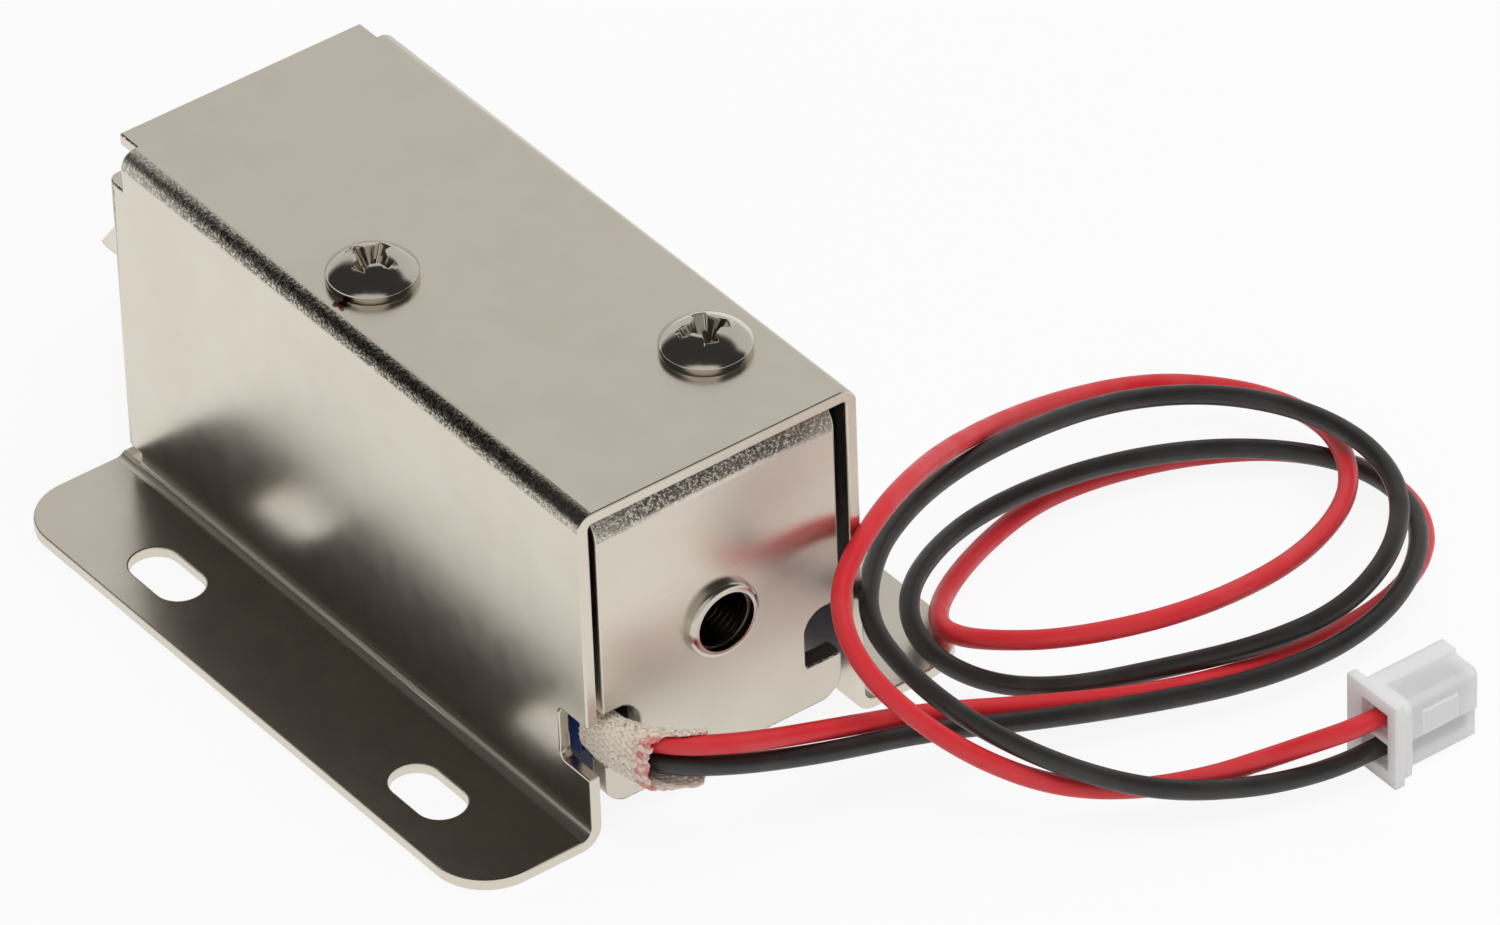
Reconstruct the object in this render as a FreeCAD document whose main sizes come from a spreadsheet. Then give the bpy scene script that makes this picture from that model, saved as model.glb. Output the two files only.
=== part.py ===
import FreeCAD, Part
import math
import os
import Sketcher

# A small 12 V solenoid lock. A pull solenoid inside a folded steel case draws a
# slanted latch bolt back, and a spring pushes it out again. Two leads leave the
# case at the rear and end in a two way plug.
# Lengths are in millimetres. +X is the way the bolt comes out and +Z is up. The
# origin is on the underside of the feet, in the middle of the four slots.

SIZES = [
    ("case_length", 53.6, "case along the bolt"),
    ("case_width", 22.7, "over the two walls"),
    ("case_height", 27.3, "floor to top"),
    ("case_sheet", 0.87, "steel sheet of the case"),
    ("case_bend", 0.35, "inside radius of the folds at the top"),
    ("foot_bend", 0.8, "inside radius of the folds at the feet"),
    ("lip_bend", 0.15, "inside radius of the folds at the front lips"),
    ("feet_span", 42.0, "over the two feet"),
    ("foot_corner", 4.2, "corner radius of a foot"),
    ("slot_width", 3.6, "mounting slot"),
    ("slot_length", 6.45, "mounting slot, end to end"),
    ("slot_pitch", 30.0, "slots along the case"),
    ("slot_inset", 4.15, "slots in from the outer edge of a foot"),
    ("slot_setback", 1.0, "middle of the four slots behind the middle of the case"),
    ("relief_length", 2.0, "front corner cut-outs, along the case"),
    ("lip_drop", 3.0, "front lips end this far below the top"),
    ("lip_rise", 2.0, "front lips start this far above the floor"),
    ("foot_relief", 0.8, "slit under each front lip"),
    ("tab_inset", 1.39, "top sheet stands in from the walls at the front"),
    ("lip_seam", 0.3, "slit where the two lips meet"),
    ("bolt_play", 0.2, "gap round the bolt in the front"),
    ("exit_length", 3.2, "lead opening in the left wall"),
    ("exit_low", 7.8, "lower edge of the lead opening, below the axis"),
    ("exit_high", 3.5, "upper edge of the lead opening, below the axis"),
    ("exit_corner", 0.6, "corner radius of the lead openings"),
    ("screw_pass", 0.4, "case holes over the screw size"),
    ("bracket_sheet", 1.5, "steel of the coil frame"),
    ("bracket_bend", 0.7, "inside radius of its folds"),
    ("bracket_width", 19.5, "across the coil frame"),
    ("bracket_length", 34.0, "over its rear and front plates"),
    ("bracket_setback", 0.4, "rear plate inside the case edge"),
    ("bracket_floor", 2.3, "lower edge above the floor"),
    ("bracket_corner", 1.8, "lower corner radius"),
    ("notch_depth", 2.95, "side notches of the rear plate"),
    ("notch_low", 7.75, "lower edge of a side notch, below the axis"),
    ("notch_high", 3.4, "upper edge of a side notch, below the axis"),
    ("notch_round", 1.7, "upper corner radius of a side notch"),
    ("notch_corner", 0.3, "lower corner radius of a side notch"),
    ("coil_room", 2.23, "coil flanges below the top of the frame"),
    ("core_hole", 5.1, "rear plate hole for the core rivet"),
    ("tube_play", 0.2, "front plate hole over the brass tube"),
    ("screw_size", 3.0, "screw thread"),
    ("screw_fit", 0.04, "frame holes over the screw size"),
    ("screw_reach", 4.0, "screw below its head"),
    ("screw_point", 0.5, "chamfer at the end of the screw"),
    ("screw_head", 6.35, "head across"),
    ("screw_rim", 0.6, "straight edge of the head"),
    ("screw_rise", 2.0, "head above the case"),
    ("front_screw_inset", 4.7, "front screw behind the face of the front plate"),
    ("rear_screw_inset", 9.1, "rear screw ahead of the face of the rear plate"),
    ("screw_aside", 6.2, "screws off the middle line"),
    ("recess_span", 3.8, "cross recess, tip to tip"),
    ("recess_slot", 1.0, "cross recess, wing width"),
    ("recess_core", 0.5, "cross recess, corners between the wings"),
    ("recess_depth", 1.8, "cross recess below the crown"),
    ("floor_span", 1.3, "cross recess at its floor, tip to tip"),
    ("floor_slot", 0.5, "cross recess at its floor, wing width"),
    ("floor_core", 0.15, "cross recess at its floor, corners between the wings"),
    ("turn_front", 20.0, "front screw, recess angle in degrees"),
    ("turn_rear", 70.0, "rear screw, recess angle in degrees"),
    ("guide_outer", 9.0, "brass tube, outside"),
    ("guide_bore", 8.16, "brass tube, inside"),
    ("guide_gap", 0.05, "bobbin round the brass tube"),
    ("barrel_wall", 0.95, "bobbin barrel"),
    ("flange_size", 18.4, "bobbin flanges across"),
    ("flange_sheet", 1.4, "bobbin flanges"),
    ("winding_size", 17.1, "winding across"),
    ("layer_gap", 0.05, "between barrel, winding and tape"),
    ("tape_sheet", 0.2, "insulating tape"),
    ("lap_length", 7.5, "tape over the splices, along the coil"),
    ("lap_aside", 9.5, "tape over the splices, off the middle line"),
    ("lap_high", 3.2, "it leaves the splices this far below the axis"),
    ("lap_low", 8.25, "it turns in this far below the axis"),
    ("lap_foot", 5.6, "it comes back to the coil, off the middle line"),
    ("lap_foot_low", 6.55, "it comes back to the coil, below the axis"),
    ("core_size", 8.1, "fixed core across"),
    ("rivet_fit", 0.02, "rivet in its hole, per side"),
    ("core_length", 14.4, "rear face of the plate to the cone seat of the core"),
    ("rivet_bore", 4.5, "bore of the rivet"),
    ("rivet_lip", 5.75, "flared lip across"),
    ("rivet_stand", 0.7, "lip behind the rear plate"),
    ("rivet_round", 0.42, "rounding of the flared lip"),
    ("rivet_depth", 9.0, "bore depth from the lip"),
    ("stroke", 10.0, "travel of the bolt"),
    ("pole_gap", 0.3, "plunger to core when pulled in"),
    ("pole_rim", 0.3, "cone seat in the core, shorter than the nose by this"),
    ("plunger_size", 8.0, "plunger across"),
    ("nose_flat", 3.0, "flat on the plunger nose"),
    ("nose_length", 3.0, "cone on the plunger nose"),
    ("neck_size", 5.0, "neck across"),
    ("neck_free", 6.0, "bare neck behind the bolt collar"),
    ("neck_hold", 6.5, "neck inside the bolt"),
    ("neck_fit", 0.05, "bolt bore over the neck"),
    ("bore_spare", 0.6, "bolt bore past the neck end"),
    ("bolt_side", 9.5, "square of the latch bolt"),
    ("bolt_reach", 11.6, "bolt out of the case front"),
    ("bolt_edge", 0.4, "rounding of the bolt edges"),
    ("slant_run", 7.25, "slant face along the bolt"),
    ("slant_rise", 9.0, "slant face down the tip"),
    ("collar_side", 13.0, "square of the bolt collar"),
    ("collar_sheet", 2.6, "bolt collar"),
    ("collar_gap", 0.25, "collar behind the bumper at rest"),
    ("pin_size", 2.0, "cross pin"),
    ("pin_fit", 0.04, "pin holes over the pin"),
    ("pin_ahead", 1.05, "pin in front of the collar"),
    ("pin_inset", 0.1, "pin ends below the bolt faces"),
    ("bumper_side", 14.0, "rubber bumper across"),
    ("bumper_play", 0.35, "bumper round the bolt, per side"),
    ("bumper_sheet", 1.03, "rubber bumper"),
    ("bumper_gap", 0.05, "glue between bumper and lips"),
    ("spring_wire", 0.7, "return spring wire"),
    ("spring_mean", 11.0, "return spring, mean of the coils"),
    ("spring_turns", 6, "turns"),
    ("spring_seat", 0.03, "spring to each seat"),
    ("lead_size", 1.4, "lead over its insulation"),
    ("splice_size", 1.3, "splice across"),
    ("splice_length", 2.2, "splice inside the case"),
    ("splice_ahead", 4.4, "splices ahead of the rear plate"),
    ("splice_aside", 8.75, "splices off the middle line"),
    ("splice_high", 4.8, "splice of the red lead below the axis"),
    ("splice_low", 6.5, "splice of the black lead below the axis"),
    ("sleeve_size", 3.8, "braided sleeve, outside"),
    ("sleeve_wall", 0.15, "braided sleeve, wall"),
    ("mouth_size", 5.0, "frayed end of the sleeve, outside"),
    ("plug_flange_wide", 5.1, "plug flange, flat side"),
    ("plug_flange_high", 6.8, "plug flange, standing"),
    ("plug_flange_sheet", 0.8, "plug flange"),
    ("plug_wide", 3.65, "plug body, flat side"),
    ("plug_high", 6.0, "plug body, standing"),
    ("plug_length", 6.95, "plug body ahead of its flange"),
    ("plug_margin", 0.52, "flange past the body on its inner side"),
    ("plug_sink", 0.15, "flange below the body"),
    ("plug_crest", 1.4, "width of the higher strip along the body's edge"),
    ("crest_step", 0.38, "height of that strip"),
    ("plug_round", 0.5, "rounding of the body's outer edge"),
    ("ledge_height", 2.4, "ledge along the outer side, above the body's underside"),
    ("ledge_depth", 0.25, "body stands back below the ledge"),
    ("collar_length", 1.0, "thicker collar of the body at its flange"),
    ("collar_out", 0.5, "that collar past the body on the outer side"),
    ("collar_round", 0.8, "rounding of the collar's upper edge"),
    ("key_start", 2.2, "raised key on the outer side, ahead of the flange"),
    ("key_length", 3.0, "raised key"),
    ("key_high", 1.9, "raised key, standing"),
    ("key_rise", 0.25, "raised key above the ledge"),
    ("key_stand", 0.2, "raised key off the body's side"),
    ("plug_pitch", 2.5, "between the two ways"),
    ("plug_aside", 0.32, "ways off the middle of the plug"),
    ("way_side", 1.8, "way through the plug, square"),
    ("mouth_wide", 2.65, "wire entry in the flange"),
    ("mouth_high", 2.2, "wire entry in the flange, standing"),
    ("mouth_depth", 0.7, "depth of the wire entry"),
    ("contact_side", 1.7, "crimp contact box"),
    ("contact_length", 5.4, "crimp contact with its barrel"),
    ("barrel_length", 1.6, "crimp barrel"),
    ("contact_bore", 1.1, "socket of the contact"),
    ("contact_wall", 0.3, "closed back of the socket"),
    ("plug_x", -51.93, "middle of the plug along the case"),
    ("plug_y", -33.35, "rear face of the plug flange"),
    ("lead_end", 1.55, "leads end this far inside the plug"),
]

# Both leads run in the sleeve through the case opening, fall to the table, make
# two turns beside the case and end in the plug. The points follow each lead.
RED_LEAD = [
    (-19.5, 8.75, 8.7), (-22.6, 8.75, 8.7), (-25.2, 8.95, 8.7), (-27.7, 8.2, 8.7),
    (-29.7, 6.55, 8.65), (-31.0, 4.2, 8.4), (-31.8, 1.3, 7.8), (-31.9, -4.3, 6.0),
    (-32.6, -11.6, 4.1), (-34.9, -18.9, 2.4), (-37.8, -26.2, 1.5), (-39.6, -33.2, 1.1),
    (-39.9, -40.1, 0.8), (-39.1, -46.3, 0.8), (-36.4, -51.1, 0.8), (-31.9, -53.5, 0.8),
    (-26.7, -53.2, 0.8), (-22.0, -50.3, 0.8), (-18.6, -45.3, 0.8), (-16.4, -39.2, 0.8),
    (-16.0, -33.3, 1.0), (-17.4, -27.6, 0.9), (-20.2, -22.4, 1.5), (-23.6, -18.9, 2.6),
    (-26.6, -18.2, 3.5), (-29.7, -19.2, 4.5), (-33.2, -22.1, 5.3), (-36.1, -27.7, 5.8),
    (-36.6, -33.9, 5.3), (-35.5, -40.6, 4.5), (-32.8, -46.5, 3.9), (-29.4, -50.0, 3.6),
    (-24.8, -52.1, 3.2), (-20.3, -52.1, 2.8), (-16.3, -50.0, 2.9), (-13.1, -45.2, 3.8),
    (-13.4, -36.4, 6.4), (-18.1, -25.1, 11.4), (-24.1, -15.7, 15.6), (-26.9, -10.2, 15.3),
    (-28.4, -7.5, 13.9), (-30.5, -6.3, 12.0), (-33.2, -6.3, 10.0), (-36.6, -7.6, 7.8),
    (-39.6, -10.2, 5.2), (-42.6, -13.8, 3.0), (-45.3, -18.0, 2.1), (-47.7, -22.8, 2.2),
    (-49.5, -27.2, 3.0), (-50.9, -29.3, 3.9), (-51.9, -31.3, 4.45), (-52.25, -33.1, 4.65),
    (-52.25, -34.9, 4.65),
]
BLACK_LEAD = [
    (-19.5, 8.75, 7.0), (-22.6, 8.75, 7.0), (-25.2, 8.95, 7.0), (-27.7, 8.2, 7.0),
    (-29.7, 6.55, 6.95), (-31.0, 4.3, 6.7), (-31.7, 1.5, 6.0), (-32.9, -3.2, 5.2),
    (-34.0, -10.3, 4.0), (-36.3, -17.8, 2.6), (-39.0, -25.1, 2.0), (-41.7, -31.6, 2.2),
    (-42.4, -38.3, 2.1), (-41.4, -44.2, 2.5), (-37.8, -49.4, 2.6), (-32.8, -52.3, 2.1),
    (-27.5, -52.2, 1.8), (-23.3, -49.6, 1.9), (-19.9, -44.9, 2.3), (-17.7, -38.8, 2.8),
    (-17.0, -31.9, 3.4), (-17.7, -25.3, 3.8), (-20.5, -19.4, 4.2), (-23.7, -16.5, 3.9),
    (-27.6, -15.8, 3.3), (-31.3, -17.8, 2.4), (-34.1, -21.8, 1.9), (-36.4, -28.0, 1.8),
    (-39.6, -33.8, 2.8), (-40.8, -39.8, 3.5), (-39.5, -45.0, 4.5), (-36.3, -48.9, 5.1),
    (-32.0, -51.0, 5.2), (-27.2, -51.2, 5.3), (-22.4, -49.4, 5.5), (-18.7, -45.2, 6.2),
    (-16.9, -38.8, 7.4), (-18.0, -30.5, 9.4), (-19.0, -22.9, 9.9), (-21.7, -16.5, 10.2),
    (-25.0, -12.4, 10.2), (-28.4, -9.9, 9.8), (-32.2, -9.5, 8.8), (-36.7, -10.5, 7.2),
    (-40.9, -12.7, 5.6), (-44.8, -15.9, 4.0), (-47.9, -19.7, 2.8), (-50.2, -24.5, 2.1),
    (-51.5, -28.0, 2.05), (-52.1, -30.7, 2.1), (-52.25, -32.8, 2.15), (-52.25, -34.9, 2.15),
]
# The sleeve keeps to the leads where they pass the case opening.
SLEEVE_LINE = [
    (-22.75, 8.76, 7.85), (-25.2, 8.95, 7.85), (-27.7, 8.2, 7.85), (-29.7, 6.55, 7.82),
]

DOC = FreeCAD.newDocument("SolenoidLock")
Vector = FreeCAD.Vector
UPRIGHT = Vector(0, 0, 1)


class Length:
    """A length: its value and the sheet expression that gives it."""

    def __init__(self, value, text):
        self.value = value
        self.text = text

    def __add__(self, other):
        other = length(other)
        return Length(self.value + other.value, f"({self.text} + {other.text})")

    def __sub__(self, other):
        other = length(other)
        return Length(self.value - other.value, f"({self.text} - {other.text})")

    def __mul__(self, other):
        other = length(other)
        return Length(self.value * other.value, f"({self.text} * {other.text})")

    def __truediv__(self, other):
        other = length(other)
        return Length(self.value / other.value, f"({self.text} / {other.text})")

    def __neg__(self):
        return Length(-self.value, f"(-1 * {self.text})")


def length(term):
    if isinstance(term, Length):
        return term
    return Length(float(term), repr(term))


class Sheet:
    """The driving sizes, each an attribute by its name in the spreadsheet."""

    def __init__(self, rows):
        sheet = DOC.addObject("Spreadsheet::Sheet", "Sizes")
        for number, (alias, value, note) in enumerate(rows, 1):
            sheet.set(f"A{number}", alias)
            sheet.set(f"B{number}", str(value))
            sheet.set(f"C{number}", note)
            sheet.setAlias(f"B{number}", alias)
            setattr(self, alias, Length(float(value), f"Sizes.{alias}"))


S = Sheet(SIZES)
DOC.recompute()

# Planes and edges that several pieces share
CASE_BACK = S.slot_setback - S.case_length / 2
CASE_FRONT = S.slot_setback + S.case_length / 2
WALL_OUT = S.case_width / 2
WALL_IN = WALL_OUT - S.case_sheet
TOP_IN = S.case_height - S.case_sheet
LIP_IN = CASE_FRONT - S.case_sheet
PLATE_BACK = CASE_BACK + S.bracket_setback
PLATE_IN = PLATE_BACK + S.bracket_sheet
PLATE_FRONT = PLATE_BACK + S.bracket_length
COIL_FRONT = PLATE_FRONT - S.bracket_sheet
COIL_LENGTH = COIL_FRONT - PLATE_IN
AXIS_HEIGHT = TOP_IN - S.bracket_sheet - S.coil_room - S.flange_size / 2
FRONT_SCREW = PLATE_FRONT - S.front_screw_inset
REAR_SCREW = PLATE_BACK + S.rear_screw_inset
TUBE_HOLE = S.guide_outer + S.tube_play
BUMPER_BACK = LIP_IN - S.bumper_gap - S.bumper_sheet
COLLAR_FRONT = BUMPER_BACK - S.collar_gap
COLLAR_BACK = COLLAR_FRONT - S.collar_sheet
PLUNGER_TIP = PLATE_BACK + S.core_length + S.pole_gap + S.stroke
PLUNGER_LENGTH = COLLAR_BACK - S.neck_free - PLUNGER_TIP
PIN_X = COLLAR_FRONT + S.pin_ahead
# How far a cutting sketch reaches past the edge that it opens
OVERCUT = length(2.0)


def new_body(label, along=None, aside=None, up=None):
    body = DOC.addObject("PartDesign::Body", label)
    body.Label = label
    for axis, place in zip("xyz", (along, aside, up)):
        if place is not None:
            body.setExpression(f"Placement.Base.{axis}", length(place).text)
    return body


def new_sketch(body, plane, offset=None):
    """A sketch on one of the body's own origin planes, or parallel to it."""
    sketch = body.newObject("Sketcher::SketchObject", f"{body.Label}_sketch")
    face = next(item for item in body.Origin.OriginFeatures if item.Role == plane)
    sketch.AttachmentSupport = [(face, "")]
    sketch.MapMode = "FlatFace"
    if offset is not None:
        sketch.setExpression("AttachmentOffset.Base.z", length(offset).text)
    return sketch


def bind(sketch, kind, places, size):
    """Add a constraint whose value follows the sheet."""
    number = sketch.addConstraint(Sketcher.Constraint(kind, *places, size.value))
    sketch.setExpression(f"Constraints[{number}]", size.text)


def pin_across(sketch, geometry, point, across):
    if across.text == "0":
        sketch.addConstraint(Sketcher.Constraint("PointOnObject", geometry, point, -2))
    else:
        bind(sketch, "DistanceX", (-1, 1, geometry, point), across)


def pin_up(sketch, geometry, point, up):
    if up.text == "0":
        sketch.addConstraint(Sketcher.Constraint("PointOnObject", geometry, point, -1))
    else:
        bind(sketch, "DistanceY", (-1, 1, geometry, point), up)


def draw_outline(sketch, corners, dome=None):
    """Close a loop through (across, up) or (across, up, radius) corners.

    Sides that share a coordinate lie level or upright. A radius needs a square corner.
    The side after the corner with the number dome bulges about the upright axis.
    """
    points = [(length(c[0]), length(c[1]), length(c[2]) if len(c) > 2 else None) for c in corners]
    count = len(points)
    flat = [Vector(across.value, up.value, 0) for across, up, radius in points]
    enter, leave = [], []
    for i, (across, up, radius) in enumerate(points):
        reach = radius.value if radius else 0.0
        back = (flat[i - 1] - flat[i]).normalize()
        ahead = (flat[(i + 1) % count] - flat[i]).normalize()
        enter.append(flat[i] + back * reach)
        leave.append(flat[i] + ahead * reach)
    sides = []
    for i in range(count):
        if i == dome:
            sides.append(add_dome(sketch, leave[i], enter[i + 1]))
        else:
            sides.append(sketch.addGeometry(Part.LineSegment(leave[i], enter[(i + 1) % count])))
    level = [points[i][1].text == points[(i + 1) % count][1].text for i in range(count)]
    upright = [points[i][0].text == points[(i + 1) % count][0].text for i in range(count)]
    for i, side in enumerate(sides):
        if level[i]:
            sketch.addConstraint(Sketcher.Constraint("Horizontal", side))
            pin_up(sketch, side, 1, points[i][1])
        if upright[i]:
            sketch.addConstraint(Sketcher.Constraint("Vertical", side))
            pin_across(sketch, side, 1, points[i][0])
    for i, (across, up, radius) in enumerate(points):
        before, after = sides[i - 1], sides[i]
        if radius is None:
            sketch.addConstraint(Sketcher.Constraint("Coincident", before, 2, after, 1))
            if not (upright[i - 1] or upright[i]):
                pin_across(sketch, after, 1, across)
            if not (level[i - 1] or level[i]):
                pin_up(sketch, after, 1, up)
            continue
        centre = enter[i] + leave[i] - flat[i]
        left_turn = (flat[i] - flat[i - 1]).cross(flat[(i + 1) % count] - flat[i]).z > 0
        first, last = (enter[i], leave[i]) if left_turn else (leave[i], enter[i])
        begin = math.atan2(first.y - centre.y, first.x - centre.x)
        end = math.atan2(last.y - centre.y, last.x - centre.x)
        circle = Part.Circle(centre, UPRIGHT, radius.value)
        arc = sketch.addGeometry(Part.ArcOfCircle(circle, begin, end))
        near, far = (1, 2) if left_turn else (2, 1)
        sketch.addConstraint(Sketcher.Constraint("Tangent", before, 2, arc, near))
        sketch.addConstraint(Sketcher.Constraint("Tangent", arc, far, after, 1))
        bind(sketch, "Radius", (arc,), radius)


def add_dome(sketch, rim, crown):
    """An arc from a rim to a crown on the upright axis, level at the crown."""
    rise = crown.y - rim.y
    radius = (rim.x ** 2 + rise ** 2) / (2 * rise)
    middle = Vector(0, crown.y - radius, 0)
    begin = math.atan2(rim.y - middle.y, rim.x)
    arc = sketch.addGeometry(Part.ArcOfCircle(Part.Circle(middle, UPRIGHT, radius), begin, math.pi / 2))
    sketch.addConstraint(Sketcher.Constraint("PointOnObject", arc, 3, -2))
    return arc


def draw_box(sketch, left, right, low, high, radius=None):
    corners = [(left, low), (right, low), (right, high), (left, high)]
    if radius is not None:
        corners = [(across, up, radius) for across, up in corners]
    draw_outline(sketch, corners)


def draw_circle(sketch, across, up, size):
    across, up, size = length(across), length(up), length(size)
    circle = Part.Circle(Vector(across.value, up.value, 0), UPRIGHT, size.value / 2)
    geometry = sketch.addGeometry(circle)
    pin_across(sketch, geometry, 3, across)
    pin_up(sketch, geometry, 3, up)
    bind(sketch, "Diameter", (geometry,), size)


def draw_slot(sketch, across, up, long, wide):
    """A slot with round ends, long across the sketch."""
    radius, reach = wide / 2, (long - wide) / 2
    left = Vector(across.value - reach.value, up.value, 0)
    right = Vector(across.value + reach.value, up.value, 0)
    rise = Vector(0, radius.value, 0)
    low = sketch.addGeometry(Part.LineSegment(left - rise, right - rise))
    far = sketch.addGeometry(
        Part.ArcOfCircle(Part.Circle(right, UPRIGHT, radius.value), -math.pi / 2, math.pi / 2)
    )
    high = sketch.addGeometry(Part.LineSegment(right + rise, left + rise))
    near = sketch.addGeometry(
        Part.ArcOfCircle(Part.Circle(left, UPRIGHT, radius.value), math.pi / 2, 3 * math.pi / 2)
    )
    for first, second in ((low, far), (far, high), (high, near), (near, low)):
        sketch.addConstraint(Sketcher.Constraint("Tangent", first, 2, second, 1))
    bind(sketch, "Radius", (far,), radius)
    for end, place in ((far, across + reach), (near, across - reach)):
        pin_across(sketch, end, 3, place)
        pin_up(sketch, end, 3, up)


def add_feature(body, kind, sketch, name):
    feature = body.newObject(f"PartDesign::{kind}", f"{body.Label}_{name}")
    feature.Profile = sketch
    sketch.Visibility = False
    return feature


def pad(body, sketch, size, both_ways=False):
    feature = add_feature(body, "Pad", sketch, "pad")
    feature.setExpression("Length", length(size).text)
    feature.SideType = "Symmetric" if both_ways else "One side"
    DOC.recompute()
    return feature


def cut(body, sketch, size=None, back=False):
    """Cut against the sketch's normal, or along it with back. No size cuts all."""
    feature = add_feature(body, "Pocket", sketch, "cut")
    if size is None:
        feature.Type = "ThroughAll"
    else:
        feature.setExpression("Length", length(size).text)
    feature.Reversed = back
    DOC.recompute()
    solid, before = feature.Shape, feature.BaseFeature.Shape
    if solid.Volume > before.Volume - 1e-4:
        raise ValueError(f"{feature.Name} removes nothing")
    return feature


def turn(body, sketch, axis="H_Axis"):
    feature = add_feature(body, "Revolution", sketch, "turned")
    feature.ReferenceAxis = (sketch, [axis])
    feature.Angle = 360.0
    DOC.recompute()
    return feature


def round_edges(body, size, wanted):
    """Fillet the edges of the body's last feature that wanted picks out."""
    base = body.Tip
    picked = []
    for number, edge in enumerate(base.Shape.Edges, 1):
        if wanted(edge):
            picked.append(f"Edge{number}")
    feature = body.newObject("PartDesign::Fillet", f"{body.Label}_rounding")
    feature.Base = (base, picked)
    feature.setExpression("Radius", length(size).text)
    DOC.recompute()
    return feature


def runs_along(edge, direction):
    """Whether an edge is straight and parallel to a direction."""
    if edge.Curve.TypeId != "Part::GeomLine":
        return False
    return abs(abs(edge.tangentAt(edge.FirstParameter).dot(direction)) - 1) < 1e-6


def same(first, second):
    return abs(first - length(second).value) < 1e-3


def make_case_cover():
    """The folded case: top, walls and feet from one strip, two front lips."""
    body = new_body("case_cover")
    foot, sheet = S.feet_span / 2, S.case_sheet
    tight, wide = S.case_bend, S.case_bend + S.case_sheet
    low_tight, low_wide = S.foot_bend, S.foot_bend + S.case_sheet
    section = new_sketch(body, "YZ_Plane", CASE_BACK)
    draw_outline(section, [
        (foot, 0), (foot, sheet), (WALL_OUT, sheet, low_tight), (WALL_OUT, S.case_height, wide),
        (-WALL_OUT, S.case_height, wide), (-WALL_OUT, sheet, low_tight), (-foot, sheet), (-foot, 0),
        (-WALL_IN, 0, low_wide), (-WALL_IN, TOP_IN, tight), (WALL_IN, TOP_IN, tight),
        (WALL_IN, 0, low_wide),
    ])
    pad(body, section, S.case_length)
    cut_front_corners(body)
    add_front_lips(body)
    cut_case_holes(body)

    def foot_corner(edge):
        middle = edge.CenterOfMass
        at_end = same(middle.x, CASE_BACK) or same(middle.x, CASE_FRONT)
        return at_end and same(abs(middle.y), foot) and runs_along(edge, UPRIGHT)

    round_edges(body, S.foot_corner, foot_corner)
    return body


def cut_front_corners(body):
    """Free the walls from the top and the feet at the front, ready to fold."""
    inner, outer = WALL_OUT - S.tab_inset, WALL_OUT + S.foot_bend + OVERCUT
    low = S.lip_rise - S.foot_relief
    sketch = new_sketch(body, "YZ_Plane", CASE_FRONT)
    draw_box(sketch, inner, outer, low, S.case_height + OVERCUT)
    draw_box(sketch, -outer, -inner, low, S.case_height + OVERCUT)
    cut(body, sketch, S.relief_length)


def add_front_lips(body):
    """Each wall folds in to half of the front, with a slit between the halves."""
    start = CASE_FRONT - S.relief_length
    seam = S.lip_seam / 2
    tight, wide = S.lip_bend, S.lip_bend + S.case_sheet
    sketch = new_sketch(body, "XY_Plane", S.lip_rise)
    draw_outline(sketch, [
        (start, WALL_IN), (LIP_IN, WALL_IN, tight), (LIP_IN, seam),
        (CASE_FRONT, seam), (CASE_FRONT, WALL_OUT, wide), (start, WALL_OUT),
    ])
    draw_outline(sketch, [
        (start, -WALL_OUT), (CASE_FRONT, -WALL_OUT, wide), (CASE_FRONT, -seam),
        (LIP_IN, -seam), (LIP_IN, -WALL_IN, tight), (start, -WALL_IN),
    ])
    pad(body, sketch, S.case_height - S.lip_drop - S.lip_rise)


def cut_case_holes(body):
    half = S.bolt_side / 2 + S.bolt_play
    window = new_sketch(body, "YZ_Plane")
    draw_box(window, -half, half, AXIS_HEIGHT - half, AXIS_HEIGHT + half)
    cut(body, window, back=True)

    exit_edge = CASE_BACK + S.exit_length
    beyond = CASE_BACK - S.exit_corner * 2
    opening = new_sketch(body, "XZ_Plane")
    draw_box(opening, beyond, exit_edge, AXIS_HEIGHT - S.exit_low, AXIS_HEIGHT - S.exit_high,
             S.exit_corner)
    cut(body, opening)

    tops = new_sketch(body, "XY_Plane")
    hole = S.screw_size + S.screw_pass
    draw_circle(tops, FRONT_SCREW, S.screw_aside, hole)
    draw_circle(tops, REAR_SCREW, -S.screw_aside, hole)
    cut(body, tops, back=True)

    slots = new_sketch(body, "XY_Plane")
    for along in (S.slot_pitch / 2, -(S.slot_pitch / 2)):
        for aside in (S.feet_span / 2 - S.slot_inset, S.slot_inset - S.feet_span / 2):
            draw_slot(slots, along, aside, S.slot_length, S.slot_width)
    cut(body, slots, back=True)


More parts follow.
